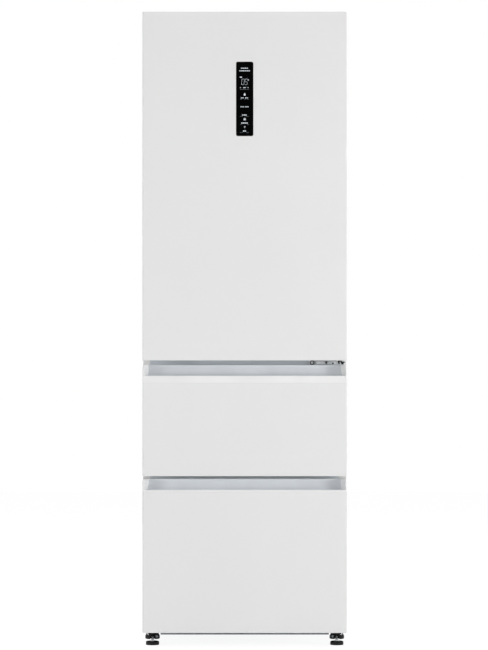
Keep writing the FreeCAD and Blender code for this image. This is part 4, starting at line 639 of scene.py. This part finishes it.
@dataclass
class Cabinet(Assembly):
    """The painted shell, its back, its rails and its hinges.

    The turned pieces, the filler plug, the washer and the black buttons that stand for a shadow, are pairs
    of radius and how far it stands out.
    """

    sheet_corner: float = 3.0
    sheet_edge: float = 0.3
    bead: Flat = (16.0, 4.5)
    bead_ridge: tuple[Flat, ...] = ((0.0, -0.1), (0.2, 0.6), (0.5, 1.0), (0.8, 0.6), (1.0, -0.1))
    bead_corner: float = 36.0
    bead_half: float = 240.0
    bead_fields: tuple[Span, ...] = ((300.0, 760.0), (810.0, 1270.0), (1320.0, 1780.0))
    panel_screws: int = 7
    screw_inset: Flat = (18.0, 40.0)
    filler_holes: tuple[Flat, ...] = ((-150.0, 1810.0), (150.0, 1810.0))
    filler_plug: tuple[Flat, ...] = ((13.0, -0.1), (13.0, 1.4), (11.5, 2.4), (4.0, 2.6))
    boot_low: float = 823.4
    boot_reach: float = 12.0
    boot_sides: tuple[Flat, ...] = (
        (-6.1, 6.0), (-2.8, 1.2), (-0.4, 1.2), (-0.4, 9.2), (2.6, 9.2), (2.6, 4.0), (5.0, 0.8),
        (10.4, 0.8), (10.8, 5.0), (13.8, 5.4), (13.8, 8.6), (6.0, 8.6), (5.4, 11.2), (-6.1, 11.2),
    )
    flange: float = 3.0
    hinge_screw: Flat = (197.5, 829.0)
    washer: tuple[Flat, ...] = ((6.6, 0.0), (6.6, 0.9), (3.0, 0.9))
    # Two small black buttons by the hinge, where the hinge lug casts a V-shaped shadow: dark pieces that
    # stand in for that shadow as painted shade.
    shade_button_places: tuple[Point, ...] = ((258.0, -288.0, 827.0), (238.0, -274.0, 829.0))
    shade_button: tuple[Flat, ...] = ((2.8, 0.0), (2.8, 3.2), (2.0, 4.0))

    def build(self) -> None:
        """Dress the sheet metal and add what is pressed into it or fixed to it."""
        self.dress(SIDE_PAINT, "outer_shell", edge=0.3)
        # The base pan wears zinc drawn darker as painted shade for its place under the cabinet.
        self.dress(ZINC_WITH_PAINTED_SHADE, "base_pan", edge=0.4)
        self.dress(FOAM, "cabinet_foam")
        self.dress(RAIL_PAINT, "mullion_rails", edge=1.0)
        self.dress(PLATED, "top_hinge", edge=0.5)
        # The middle hinge and its screws wear zinc drawn lighter as painted light for the shade of the gap.
        self.dress(ZINC_WITH_PAINTED_LIGHT, "middle_hinge", edge=0.4)
        self.dress(ZINC_WITH_PAINTED_LIGHT, "cabinet_screws")
        self.dress(WHITE_ABS, "top_hinge_cover", edge=0.1)
        self.back_panel()
        self.hinge_boot()

    def back_panel(self) -> None:
        """Press beads into the back sheet, screw it down along its sides and plug its filler holes."""
        x, y, z = self.extent("back_panel")
        face = y[1]
        form = Form("back_panel_pressed", GALVANISED, PLATED, BLACK_PP)
        sheet = Level(y[0], x, z, self.sheet_corner)
        edge = self.sheet_edge
        form.stack(Plane.XZ, [sheet, sheet.inset(0.0, face - edge), sheet.inset(edge, face)])
        wide, tall = self.bead
        for span in self.bead_fields:
            rim = Level(face, (-self.bead_half, self.bead_half), span, self.bead_corner)
            form.stack(Plane.XZ, [rim.inset(wide * u, face + tall * h) for u, h in self.bead_ridge],
                       ends=False)
        form.wear(PLATED)
        side_in, end_in = self.screw_inset
        for i in range(self.panel_screws):
            level = z[0] + end_in + i * (z[1] - z[0] - 2 * end_in) / (self.panel_screws - 1)
            for side in (-1, 1):
                form.screw(Plane.XZ, (side * (x[1] - side_in), level), face, 1)
        form.wear(BLACK_PP)
        for hole in self.filler_holes:
            form.turned(Plane.XZ, hole, [(radius, face + out) for radius, out in self.filler_plug])
        form.piece(self.body, "zinc_sheet", "back_panel")

    def hinge_boot(self) -> None:
        """Clip a slotted black boot over the middle hinge's eye, add a washer by it, and add black buttons
        that stand in for the painted shadow of the hinge lug.
        """
        pin_x, pin_y = self.axis("door_bushings")
        form = Form("middle_hinge_boot", BLACK_PP)
        form.prism(Plane.XZ, [(pin_x + run, self.boot_low + rise) for run, rise in self.boot_sides],
                   (pin_y - self.boot_reach, pin_y))
        face = self.extent("mullion_rails")[1][0] - self.flange
        form.turned(Plane.XZ, self.hinge_screw, [(radius, face - out) for radius, out in self.washer])
        for x, y, z in self.shade_button_places:
            form.turned(Plane.XZ, (x, z), [(radius, y - out) for radius, out in self.shade_button], SMALL_SIDES)
        form.piece(self.body, "black_plastic")


@dataclass
class FridgeCompartment(Assembly):
    """The upper compartment: its formed liner, shelves, air duct and light.

    rib_low and rib_top are the rounds of a rib, as steps inwards and along it from its foot and top.
    """

    corner: float = 26.0
    back_round: float = 20.0
    wall: float = 2.0
    lip: float = 1.6
    shelf_play: float = 1.2
    panes: int = 4
    pane: float = 4.0
    rib: Flat = (12.0, 10.0)
    rib_end: float = 15.0
    rib_corner: float = 5.0
    rib_low: tuple[Flat, ...] = ((2.5, 0.0), (0.4, 1.6), (0.0, 4.0))
    rib_top: tuple[Flat, ...] = ((0.0, 1.0), (1.0, 0.0))

    def build(self) -> None:
        """Form the liner and dress what it holds."""
        self.dress(SHELF_GLASS, "glass_shelves", edge=0.8)
        self.dress(WHITE_ABS, "shelf_trims", edge=0.8)
        self.dress(WHITE_ABS, "air_duct", edge=1.0)
        self.dress(OPAL, "fridge_light", edge=0.8)
        self.liner()

    def liner(self) -> None:
        """Draw the tub with rounded corners, a rolled front lip and ribs that carry the shelves."""
        form = Form("fridge_liner_formed", LINER)
        border_x, liner_y, border_z = self.extent("fridge_liner")
        shelf_x, shelf_y, shelf_z = self.extent("glass_shelves")
        half = shelf_x[1] + self.shelf_play
        front = liner_y[0]
        bend_y = liner_y[1] - self.wall - self.back_round
        ceiling = self.extent("fridge_light")[2][1]
        inside = Level(front, (-half, half), (border_z[0] + self.wall, ceiling), self.corner)
        border = Level(front, border_x, border_z, self.wall)
        bend = quarter(self.back_round)
        inner = [inside.inset(rise, bend_y + run) for run, rise in reversed(bend)]
        inner += [inside.inset(0.0, front + self.lip)]
        inner += [inside.inset(-rise, front + self.lip - run) for run, rise in quarter(self.lip)]
        rim = [border, border.inset(0.0, front + self.wall)]
        shell = inside.inset(-self.wall)
        outer = [shell.inset(0.0, front + self.wall), shell.inset(0.0, bend_y)]
        deeper = 1 + self.wall / self.back_round
        outer += [shell.inset(rise, bend_y + run * deeper) for run, rise in bend]
        form.stack(Plane.XZ, inner + rim + outer)
        wide, tall = self.rib
        pitch = (shelf_z[1] - self.pane - shelf_z[0]) / (self.panes - 1)
        for i in range(self.panes):
            level = shelf_z[0] + pitch * i
            for side in (-1, 1):
                rib = Level(level - tall, tuple(sorted((side * (half - wide), side * half))),
                            (shelf_y[0] + self.rib_end, shelf_y[1] - self.rib_end), self.rib_corner)
                form.stack(Plane.XY, [rib.inset(step, rib.w + rise) for step, rise in self.rib_low]
                           + [rib.inset(step, level - drop) for step, drop in self.rib_top])
        form.piece(self.body, "white_liner", "fridge_liner")


@dataclass
class FreezerCompartment(Assembly):
    """The lower compartment: its stepped liner, cold-air panel, evaporator and fixed runners."""

    corner: float = 16.0
    back_round: float = 14.0
    floor_wall: float = 53.8
    wall: float = 2.0
    lip: float = 1.6
    border_set: float = 0.3

    def build(self) -> None:
        """Form the liner and dress what it holds."""
        self.dress(WHITE_ABS, "freezer_air_panel", edge=1.0)
        self.dress(ALUMINIUM, "evaporator")
        self.dress(BLACK_PP, "fan_motor", edge=0.6)
        self.dress(PLATED, "outer_runners", edge=0.3)
        self.liner()
        Assembly(self.nodes, "fan_rotor").dress(WHITE_ABS, "evaporator_fan", edge=0.5)

    def liner(self) -> None:
        """Draw the tub over the step that the machine space makes at the back."""
        border_x, liner_y, border_z = self.extent("freezer_liner")
        inside_x, _, (step_z, ceiling) = self.extent("freezer_air_panel")
        front = liner_y[0] + self.border_set
        back = liner_y[1] - self.wall
        low = border_z[0] + self.floor_wall
        r = self.back_round
        bend = quarter(r)
        path = [(front + self.lip, low, 0.0), (STEP_FRONT - r, low, 0.0)]
        path += [(STEP_FRONT - r + run, low + rise, 0.0) for run, rise in bend]
        path += [(STEP_FRONT + rise, step_z - r + run, 0.0) for run, rise in bend]
        path += [(back - r + run, step_z, rise) for run, rise in bend]

        def ring(w: float, floor: float, shrink: float) -> Level:
            """Draw the tub at one place, front to back, with its floor at a given height."""
            return Level(w, inside_x, (floor, ceiling), self.corner).inset(shrink)

        inner = [ring(*stop) for stop in reversed(path)]
        outer = [ring(w + self.wall * (w > STEP_FRONT - r), floor - self.wall, shrink - self.wall)
                 for w, floor, shrink in path]
        border = Level(front, border_x, border_z, self.wall)
        rim = [ring(front, low, -self.lip), border, border.inset(0.0, front + self.lip)]
        form = Form("freezer_liner_formed", LINER)
        form.stack(Plane.XZ, inner + rim + outer)
        form.piece(self.body, "white_liner", "freezer_liner")


@dataclass
class MachineSpace(Assembly):
    """What sits behind and under the cabinet: compressor, tubes, tray, cover, inlet and chassis."""

    cover_screws: tuple[Flat, ...] = ((284.0, 60.0), (284.0, 230.0), (95.0, 244.6))
    screw_head: float = 3.6
    foot_screw: Flat = (12.5, 26.5)
    seat_radius: float = 5.4
    seat_edge: float = 0.6
    seat_reach: Span = (8.0, 16.9)
    stay: tuple[Flat, ...] = ((22.0, 40.0), (17.0, 40.0), (6.5, 27.5), (9.0, 25.5), (18.3, 37.2),
                              (22.0, 37.2))
    stay_reach: Span = (4.0, 16.0)

    def build(self) -> None:
        """Dress the machinery, and fix its cover and the front feet's bosses."""
        self.dress(BLACK_STEEL, "compressor", edge=0.8)
        self.dress(BLACK_STEEL, "condenser_tubes")
        self.dress(BLACK_PP, "drip_tray", "rear_cover", edge=0.8)
        self.dress(BLACK_PP, "power_inlet", "chassis_brackets", edge=0.6)
        Assembly(self.nodes, "rear_roller_pair").dress(BLACK_PP, "rear_rollers", edge=0.6)
        form = Form("rear_cover_screws", PLATED)
        face = self.extent("back_panel")[1][1]
        for x, z in self.cover_screws:
            for side in (-1, 1):
                form.screw(Plane.XZ, (side * x, z), face, 1, self.screw_head)
        form.piece(self.body, "plated_steel")
        self.foot_fixings()

    def foot_fixings(self) -> None:
        """Screw each front boss down and stay it to the corner of the cabinet."""
        form = Form("foot_boss_fixings", BLACK_PP, ZINC_WITH_PAINTED_LIGHT, ZINC_WITH_PAINTED_SHADE)
        inward, level = self.foot_screw
        radius, edge = self.seat_radius, self.seat_edge
        root, reach = self.seat_reach
        for side, node in ((-1, "left_foot"), (1, "right_foot")):
            x, y = self.axis(node)
            place = (x - side * inward, level)
            face = y - reach
            form.wear(BLACK_PP).turned(Plane.XZ, place, [(radius, y - root), (radius, face + edge),
                                                         (radius - edge, face)])
            # The boss screws wear zinc drawn darker as painted shade for the space under the cabinet.
            form.wear(ZINC_WITH_PAINTED_SHADE).screw(Plane.XZ, place, face, -1, self.screw_head)
            # The stays wear zinc drawn lighter as painted light for the shade under the cabinet.
            form.wear(ZINC_WITH_PAINTED_LIGHT).prism(Plane.XZ, [(x + side * run, z) for run, z in self.stay],
                                         (y - self.stay_reach[1], y - self.stay_reach[0]))
        form.piece(self.body, "plated_steel")


@dataclass
class LevellingFoot(Assembly):
    """One front foot: a fluted pad that is turned by hand on a threaded stem."""

    node: str
    tall: float = 11.5
    rounds: Span = (1.8, 3.2)
    flutes: int = 32
    flute_depth: float = 0.4
    nut: Flat = (7.0, 3.0)
    nut_edge: Flat = (0.7, 0.6)
    nut_sunk: float = 0.2
    stem: float = 4.0
    stem_tip: float = 2.8
    stem_sides: int = 24
    pitch: float = 1.25
    thread_depth: float = 0.6
    thread_start: float = 0.1

    def build(self) -> None:
        """Turn the pad, its nut and the thread that runs up into the chassis."""
        x, _, z = self.extent(self.node)
        centre = self.axis(self.node)
        radius = (x[1] - x[0]) / 2
        low, top = self.rounds
        form = Form(self.node + "_turned", BLACK_PP, ZINC_WITH_PAINTED_LIGHT)
        sides = arc((radius - low, low), low, -90, 0) + arc((radius - top, self.tall - top), top, 0, 90)
        form.turned(Plane.XY, centre, sides, 2 * self.flutes, self.flute_depth)
        # The nut and the thread wear zinc drawn lighter as painted light for the shade under the cabinet.
        form.wear(ZINC_WITH_PAINTED_LIGHT)
        wide, high = self.nut
        edge_in, edge_down = self.nut_edge
        seat = self.tall - self.nut_sunk
        nut_top = seat + high
        nut = [(wide, seat), (wide, nut_top - edge_down), (wide - edge_in, nut_top)]
        form.turned(Plane.XY, centre, nut, NUT_SIDES)
        thread = []
        for i in range(2 * int((z[1] - nut_top) / self.pitch)):
            thread.append((self.stem - self.thread_depth * (i % 2),
                           nut_top + self.pitch * (i / 2 - self.thread_start)))
        form.turned(Plane.XY, centre, thread + [(self.stem_tip, z[1])], self.stem_sides)
        form.piece(self.body, "black_plastic", self.node)


class Icon(Enum):
    """Plain signs on the control glass."""

    DROP = "drop"
    LOCK = "lock"
    SIGNAL = "signal"

    def outlines(self, z: float) -> list[list[Flat]]:
        """Draw the sign about the middle of the glass.

        Args:
            z: Height of its middle.

        Returns:
            Outlines to be filled.
        """
        middle = (0.0, z)
        if self is Icon.DROP:
            radius, sunk, tip = 3.0, 1.4, 4.6
            return [arc((0.0, z - sunk), radius, 150, 390) + [(0.0, z + tip)]]
        if self is Icon.LOCK:
            outside, inside = 2.6, 1.6
            half, low, high, corner = 3.2, 4.4, 0.2, 0.6
            bow = arc(middle, outside, 0, 180) + arc(middle, inside, 180, 0)
            return [bow, Level(0, (-half, half), (z - low, z + high), corner).outline()]
        dot, waves, thick = 1.0, (1.9, 3.6), 0.9
        fans = [arc(middle, dot, 0, 330, 11)]
        for near in waves:
            fans.append(arc(middle, near + thick, 45, 135) + arc(middle, near, 135, 45))
        return fans


@dataclass
class ControlPanel(Assembly):
    """The black glass in the door with its lit digits, signs and bars.

    front_edge is the round of its front edge, as steps inwards and back. print_skin is how far the
    print stands out of the glass and reaches into it.
    """

    pane_corner: float = 5.0
    back_edge: float = 0.3
    front_edge: tuple[Flat, ...] = ((0.0, 0.6), (0.36, 0.144), (1.2, 0.0))
    print_skin: Span = (0.12, 0.02)
    bar_corner: float = 0.5
    bars: tuple[Row, ...] = (
        (18.7, 2.6, even(-10.8, 9.6, 4)),
        (26.3, 2.6, even(-15.6, 15.0, 6)),
        (45.0, 3.2, even(-14.2, -8.0, 1)),
        (75.2, 2.2, ((-13.6, -11.0), (-4.6, 3.6), (8.6, 11.4))),
        (105.0, 2.6, even(-10.8, -3.0, 2) + even(1.2, 9.6, 2)),
        (130.9, 2.6, even(-12.2, -1.8, 3) + even(0.8, 11.3, 3)),
        (154.9, 3.2, even(-7.8, 5.5, 3)),
        (178.2, 3.2, even(-10.2, 9.0, 4)),
        (201.4, 3.2, even(-4.9, 3.8, 2)),
    )
    dim_bars: tuple[Row, ...] = (
        (80.7, 1.2, ((-13.6, 12.5),)),
        (109.2, 1.2, ((-13.6, -8.0), (-2.0, 3.8), (6.7, 12.5))),
        (159.0, 1.2, ((-13.6, -6.0), (3.8, 12.5))),
        (182.5, 1.2, ((-13.6, -8.0), (6.7, 12.5))),
        (205.8, 1.2, ((-13.6, -5.0), (3.8, 12.5))),
    )
    icons: tuple[tuple[Icon, float], ...] = ((Icon.DROP, 94.4), (Icon.LOCK, 165.7), (Icon.SIGNAL, 191.9))
    degree: Flat = (10.4, 52.8)
    degree_ring: Span = (1.1, 2.1)
    digit: Flat = (7.2, 16.4)
    digit_drop: float = 66.6
    digits: tuple[tuple[float, str], ...] = ((-9.6, "abcdef"), (-0.2, "acdfg"))
    stroke: float = 0.65
    stroke_gap: float = 0.3
    slant: float = 0.1

    def build(self) -> None:
        """Bevel the glass, print it and dress the board behind it."""
        self.dress(BOARD, "control_board", edge=0.3)
        x, y, z = self.extent("control_glass")
        form = Form("control_glass_printed", BLACK_GLASS, LIT_PRINT, DIM_PRINT)
        pane = Level(y[1], x, z, self.pane_corner)
        form.stack(Plane.XZ, [pane.inset(self.back_edge), pane.inset(0.0, y[1] - self.back_edge)]
                   + [pane.inset(step, y[0] + deep) for step, deep in self.front_edge])
        proud, sunk = self.print_skin
        dim = self.rows(self.dim_bars, z[1])
        for finish, outlines in ((LIT_PRINT, self.lit(z[1])), (DIM_PRINT, dim)):
            form.wear(finish)
            for outline in outlines:
                form.prism(Plane.XZ, outline, (y[0] - proud, y[0] + sunk))
        form.piece(self.body, "black_glass", "control_glass")

    def rows(self, bars: tuple[Row, ...], top: float) -> list[list[Flat]]:
        """Draw rows of plain rounded bars.

        Args:
            bars: How far each row lies below the top, how tall it is, and where its bars start and end.
            top: Top of the glass.

        Returns:
            Outlines to be filled.
        """
        drawn = []
        for drop, tall, spans in bars:
            height = (top - drop - tall / 2, top - drop + tall / 2)
            drawn += [Level(0, span, height, self.bar_corner).outline() for span in spans]
        return drawn

    def lit(self, top: float) -> list[list[Flat]]:
        """Draw everything that is lit.

        Args:
            top: Top of the glass.

        Returns:
            Outlines to be filled.
        """
        drawn = self.rows(self.bars, top)
        for icon, drop in self.icons:
            drawn += icon.outlines(top - drop)
        for left, strokes in self.digits:
            drawn += [self.segment(left, top - self.digit_drop, name) for name in strokes]
        near, far = self.degree_ring
        middle = (self.degree[0], top - self.degree[1])
        for start in (0, 180):
            drawn.append(arc(middle, far, start, start + 180) + arc(middle, near, start + 180, start))
        return drawn

    def segment(self, left: float, low: float, name: str) -> list[Flat]:
        """Draw one stroke of a seven-stroke digit.

        Args:
            left: Left edge of the digit.
            low: Its foot.
            name: The stroke's letter.

        Returns:
            Its outline, with pointed ends.
        """
        wide, tall = self.digit
        half = tall / 2
        start, end = (Vector((wide * u, half * v)) for u, v in STROKES[name])
        run = (end - start).normalized()
        cross = Vector((-run.y, run.x)) * self.stroke / 2
        tip = run * self.stroke / 2
        start, end = start + run * self.stroke_gap, end - run * self.stroke_gap
        corners = (start, start + tip - cross, end - tip - cross,
                   end, end - tip + cross, start + tip + cross)
        return [(left + p.x + self.slant * p.y, low + p.y) for p in corners]


@dataclass
class FridgeDoor(Assembly):
    """The wide upper door: its painted skin, caps, liner, bins and hinge bushes."""

    bins: tuple[str, ...] = ("door_bin_bottom", "door_bin_middle", "door_bin_top")
    bin_tub: Tub = Tub(wall=2.2, corner=16.0, draft=2.0, rim=(2.0, 12.0))

    def build(self) -> None:
        """Dress the door and mould its bins."""
        self.dress(FRONT_PAINT, "door_skin", edge=0.3)
        self.dress(WHITE_ABS, "door_top_cap", "door_bottom_cap", edge=0.8)
        self.dress(LINER, "door_liner", edge=3.0)
        self.dress(FOAM, "door_foam")
        self.dress(ACETAL, "door_bushings", edge=0.4)
        for name in self.bins:
            form = Form(name + "_moulded", CLEAR_PS)
            self.bin_tub.mould(form, *self.extent(name))
            form.piece(self.body, "clear_plastic", name)


@dataclass
class Crisper(Assembly):
    """The vegetable drawer under the lowest shelf, with a hooked pull along its front.

    pull is how far the pull stands out and hangs down. pull_tip is how far its lower end is rounded
    upwards, and inwards from its front and its back.
    """

    tub: Tub = Tub(wall=2.5, corner=14.0, draft=3.0, rim=(1.5, 8.0))
    pull: Flat = (14.0, 22.0)
    pull_wall: float = 3.0
    pull_half: float = 190.0
    pull_root: float = 1.0
    pull_brow: Span = (1.2, 4.0)
    pull_tip: tuple[float, float, float] = (1.0, 0.8, 0.4)
    pull_fillet: float = 2.0

    def build(self) -> None:
        """Mould the tub and its pull."""
        x, (nose, back), z = self.extent("crisper")
        top = z[1]
        front = nose + self.pull[0]
        form = Form("crisper_moulded", CLEAR_PS)
        self.tub.mould(form, x, (front, back), z)
        low = top - self.pull[1]
        root = front + self.pull_root
        inside, ceiling = nose + self.pull_wall, top - self.pull_wall
        near, far = self.pull_brow
        up, front_in, back_in = self.pull_tip
        hook = [(root, top), (nose + far, top), (nose + near, top - near), (nose, top - far),
                (nose, low + up), (nose + front_in, low), (inside - back_in, low), (inside, low + up),
                (inside, ceiling - self.pull_fillet), (inside + self.pull_fillet, ceiling), (root, ceiling)]
        form.prism(Plane.YZ, hook, (-self.pull_half, self.pull_half))
        form.piece(self.body, "clear_plastic", "crisper")


@dataclass
class FreezerDrawer(Assembly):
    """One freezer drawer: painted front with a silver grip along its top, basket and runners.

    neck, rim_round and mouth are steps of the basket's rim, inwards and down from its top.
    """

    name: str
    stepped: bool = False
    wall: float = 2.5
    corner: float = 14.0
    lean: float = 1.0
    foot_in: float = 13.0
    low_round: float = 10.0
    ledge_edge: float = 6.0
    ledge_drop: float = 0.1
    rim: float = 9.3
    neck: Flat = (0.5, 3.0)
    rim_round: tuple[Flat, ...] = ((0.0, 2.9), (0.0, 0.6), (0.6, 0.0))
    mouth: Flat = (0.3, 1.5)
    air: float = 10.0

    def build(self) -> None:
        """Dress the front and its arms, and mould the basket."""
        self.dress(FRONT_PAINT, self.name + "_drawer_skin", edge=0.3)
        self.dress(WHITE_ABS, self.name + "_drawer_cap", edge=0.6)
        self.dress(SILVER_ABS, self.name + "_drawer_grip", edge=0.6)
        self.dress(LINER, self.name + "_drawer_liner", edge=2.0)
        self.dress(FOAM, self.name + "_drawer_foam")
        self.dress(PLATED, self.name + "_drawer_arms", edge=0.3)
        Assembly(self.nodes, self.name + "_runners").dress(PLATED, self.name + "_middle_runners", edge=0.3)
        self.basket()

    def basket(self) -> None:
        """Mould the basket, stepped at the back where the machine space is below it."""
        node = self.name + "_drawer_basket"
        x, y, z = self.extent(node)
        high = z[1]
        side = (x[0] + self.rim, x[1] - self.rim)
        foot = STEP_FRONT - self.air if self.stepped else y[1]
        ledge = self.extent("freezer_air_panel")[2][0] + self.air

        def ring(w: float, back: float, inset: float) -> Level:
            """Draw the basket at one height, up to a given back."""
            return Level(w, side, (y[0], back), self.corner).inset(inset)

        def face(deep: float) -> list[Level]:
            """Draw a face of the basket from its foot up, a given depth into its wall.

            Args:
                deep: 0 for its outside, and the wall for its inside.

            Returns:
                Its rings up to the rim.
            """
            rings = [ring(z[0] + deep + rise, foot, self.foot_in + deep - run)
                     for run, rise in quarter(self.low_round)]
            if self.stepped:
                level = ledge + deep
                rings += [ring(level - self.ledge_drop, foot, self.lean + deep),
                          ring(level, y[1] - self.ledge_edge, self.lean + deep),
                          ring(level + self.ledge_edge, y[1], self.lean + deep)]
            return rings

        top = Level(high, side, y, self.corner)
        lip = Level(high, x, y, self.corner)
        outer = face(0.0) + [top.inset(self.neck[0], high - self.neck[1])]
        outer += [lip.inset(step, high - drop) for step, drop in self.rim_round]
        inner = face(self.wall)
        inner += [top.inset(self.wall + self.mouth[0], high - self.mouth[1]), top.inset(self.wall)]
        form = Form(node + "_moulded", CLEAR_PS)
        form.stack(Plane.XY, outer + inner[::-1])
        form.piece(self.body, "clear_plastic", node)


@dataclass(frozen=True)
class Softbox:
    """A round soft lamp: its place and width in metres, and its power in watts."""

    name: str
    place: Point
    width: float
    power: float

    def hang(self, aim: Point) -> None:
        """Hang the lamp, out of sight of gloss.

        Args:
            aim: The point that it faces.
        """
        lamp = bpy.data.lights.new(self.name, "AREA")
        lamp.shape = "DISK"
        lamp.size = self.width
        lamp.energy = self.power
        made = bpy.data.objects.new(self.name, lamp)
        made.location = self.place
        made.rotation_euler = (Vector(aim) - Vector(self.place)).to_track_quat("-Z", "Y").to_euler()
        made.visible_glossy = False
        bpy.context.scene.collection.objects.link(made)


@dataclass
class Studio:
    """A pale floor, soft lamps, a bright room and the camera of the photograph, all in metres.

    dark_wall is where the wall behind the camera ends and the bright room starts, as shares of the
    way along y, and dark_tone how bright that wall is.
    """

    floor_half: float = 9.0
    paper: str = "#E7E7E7"
    shaded_paper: str = "#959595"
    paper_glow: float = 0.88
    room: float = 0.36
    dark_wall: Span = (-0.97, -0.8)
    dark_tone: float = 0.02
    aim: Point = (0.0, -0.3, 0.9)
    lamps: tuple[Softbox, ...] = (
        Softbox("front_softbox", (0.3, -6.3, 1.1), 2.6, 41.0),
        Softbox("key_softbox", (5.4, -3.6, 0.9), 1.8, 222.0),
        Softbox("fill_softbox", (-5.4, -3.6, 0.9), 1.8, 126.0),
        Softbox("rear_softbox", (-2.4, 4.6, 2.2), 2.6, 60.0),
        Softbox("top_softbox", (0.0, 1.1, 4.4), 2.4, 34.0),
    )
    eye: Point = (-0.002, -10.3335, 0.939)
    front: float = -0.3335
    frame_height: float = 1.8902
    sensor: float = 36.0

    def build(self) -> None:
        """Set up the floor, the light and the camera."""
        bpy.context.scene.view_settings.view_transform = "Standard"
        self.floor()
        self.world()
        for lamp in self.lamps:
            lamp.hang(self.aim)
        self.camera()

    def seen(self, tree: bpy.types.NodeTree) -> bpy.types.NodeSocket:
        """Tell the rays that show a surface from the rays that light others.

        Args:
            tree: The tree that asks.

        Returns:
            1 for camera, glossy and transmission rays, and 0 for the rest.
        """
        path = add(tree, "ShaderNodeLightPath")
        shine = add(tree, "ShaderNodeMath", {"operation": "MAXIMUM"},
                    {0: path.outputs["Is Glossy Ray"], 1: path.outputs["Is Transmission Ray"]})
        return add(tree, "ShaderNodeMath", {"operation": "MAXIMUM"},
                   {0: path.outputs["Is Camera Ray"], 1: shine.outputs[0]}).outputs[0]

    def floor(self) -> None:
        """Lay a floor that is white where it is lit and keeps the refrigerator's shadow."""
        half = self.floor_half
        data = bpy.data.meshes.new("studio_floor")
        data.from_pydata([(-half, -half, 0), (half, -half, 0), (half, half, 0), (-half, half, 0)], [],
                         [(0, 1, 2, 3)])
        made = bpy.data.objects.new("studio_floor", data)
        bpy.context.scene.collection.objects.link(made)
        # Matt white paper, rolled smooth: no gloss, and bright enough to lose its own edge.
        paper = bpy.data.materials.new("white_backdrop_paper")
        paper.use_nodes = True
        tree = paper.node_tree
        tree.nodes.clear()
        plain = add(tree, "ShaderNodeBsdfDiffuse", inputs={"Color": linear(self.paper)})
        shade = add(tree, "ShaderNodeBsdfDiffuse", inputs={"Color": linear(self.shaded_paper)})
        white = add(tree, "ShaderNodeEmission", inputs={"Strength": self.paper_glow})
        both = add(tree, "ShaderNodeAddShader", inputs={0: white.outputs[0], 1: shade.outputs[0]})
        mixed = add(tree, "ShaderNodeMixShader",
                    inputs={0: self.seen(tree), 1: plain.outputs[0], 2: both.outputs[0]})
        add(tree, "ShaderNodeOutputMaterial", inputs={"Surface": mixed.outputs[0]})
        data.materials.append(paper)

    def world(self) -> None:
        """Make the room white to the eye, with a dark wall behind the camera that gloss mirrors."""
        room = bpy.data.worlds.new("white_studio")
        bpy.context.scene.world = room
        room.use_nodes = True
        tree = room.node_tree
        tree.nodes.clear()
        way = add(tree, "ShaderNodeTexCoord").outputs["Generated"]
        along = add(tree, "ShaderNodeSeparateXYZ", inputs={0: way})
        dark = add(tree, "ShaderNodeMapRange",
                   inputs={"Value": along.outputs["Y"], "From Min": self.dark_wall[0],
                           "From Max": self.dark_wall[1], "To Min": self.dark_tone, "To Max": 1.0})
        path = add(tree, "ShaderNodeLightPath")
        shown = add(tree, "ShaderNodeMix", {"data_type": "FLOAT"},
                    {0: path.outputs["Is Camera Ray"], 2: dark.outputs[0], 3: 1.0})
        strength = add(tree, "ShaderNodeMix", {"data_type": "FLOAT"},
                       {0: self.seen(tree), 2: self.room, 3: shown.outputs[0]})
        light = add(tree, "ShaderNodeBackground",
                    inputs={"Color": linear("#FFFFFF"), "Strength": strength.outputs[0]})
        add(tree, "ShaderNodeOutputWorld", inputs={"Surface": light.outputs[0]})

    def camera(self) -> None:
        """Stand the camera far in front, level with the middle of the picture."""
        lens = bpy.data.cameras.new("camera")
        lens.sensor_width = self.sensor
        lens.lens = lens.sensor_width * (self.front - self.eye[1]) / self.frame_height
        made = bpy.data.objects.new("camera", lens)
        made.location = self.eye
        made.rotation_euler = (math.radians(90), 0, 0)
        bpy.context.scene.collection.objects.link(made)
        bpy.context.scene.camera = made


def main() -> None:
    """Load the frame, then build the studio and every sub-assembly."""
    logging.basicConfig(level=logging.INFO, format="%(name)s %(message)s")
    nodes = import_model()["nodes"]
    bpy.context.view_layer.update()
    Studio().build()
    Cabinet(nodes, "cabinet").build()
    FridgeCompartment(nodes, "cabinet").build()
    FreezerCompartment(nodes, "cabinet").build()
    MachineSpace(nodes, "cabinet").build()
    LevellingFoot(nodes, "left_levelling_foot", "left_foot").build()
    LevellingFoot(nodes, "right_levelling_foot", "right_foot").build()
    FridgeDoor(nodes, "fridge_door").build()
    ControlPanel(nodes, "fridge_door").build()
    Crisper(nodes, "crisper_drawer").build()
    FreezerDrawer(nodes, "upper_drawer", "upper").build()
    FreezerDrawer(nodes, "lower_drawer", "lower", stepped=True).build()
    for body, node in (("fridge_door", "door_gasket"), ("upper_drawer", "upper_drawer_gasket"),
                       ("lower_drawer", "lower_drawer_gasket")):
        Seal(nodes, body, node).build()


if __name__ == "__main__":
    main()
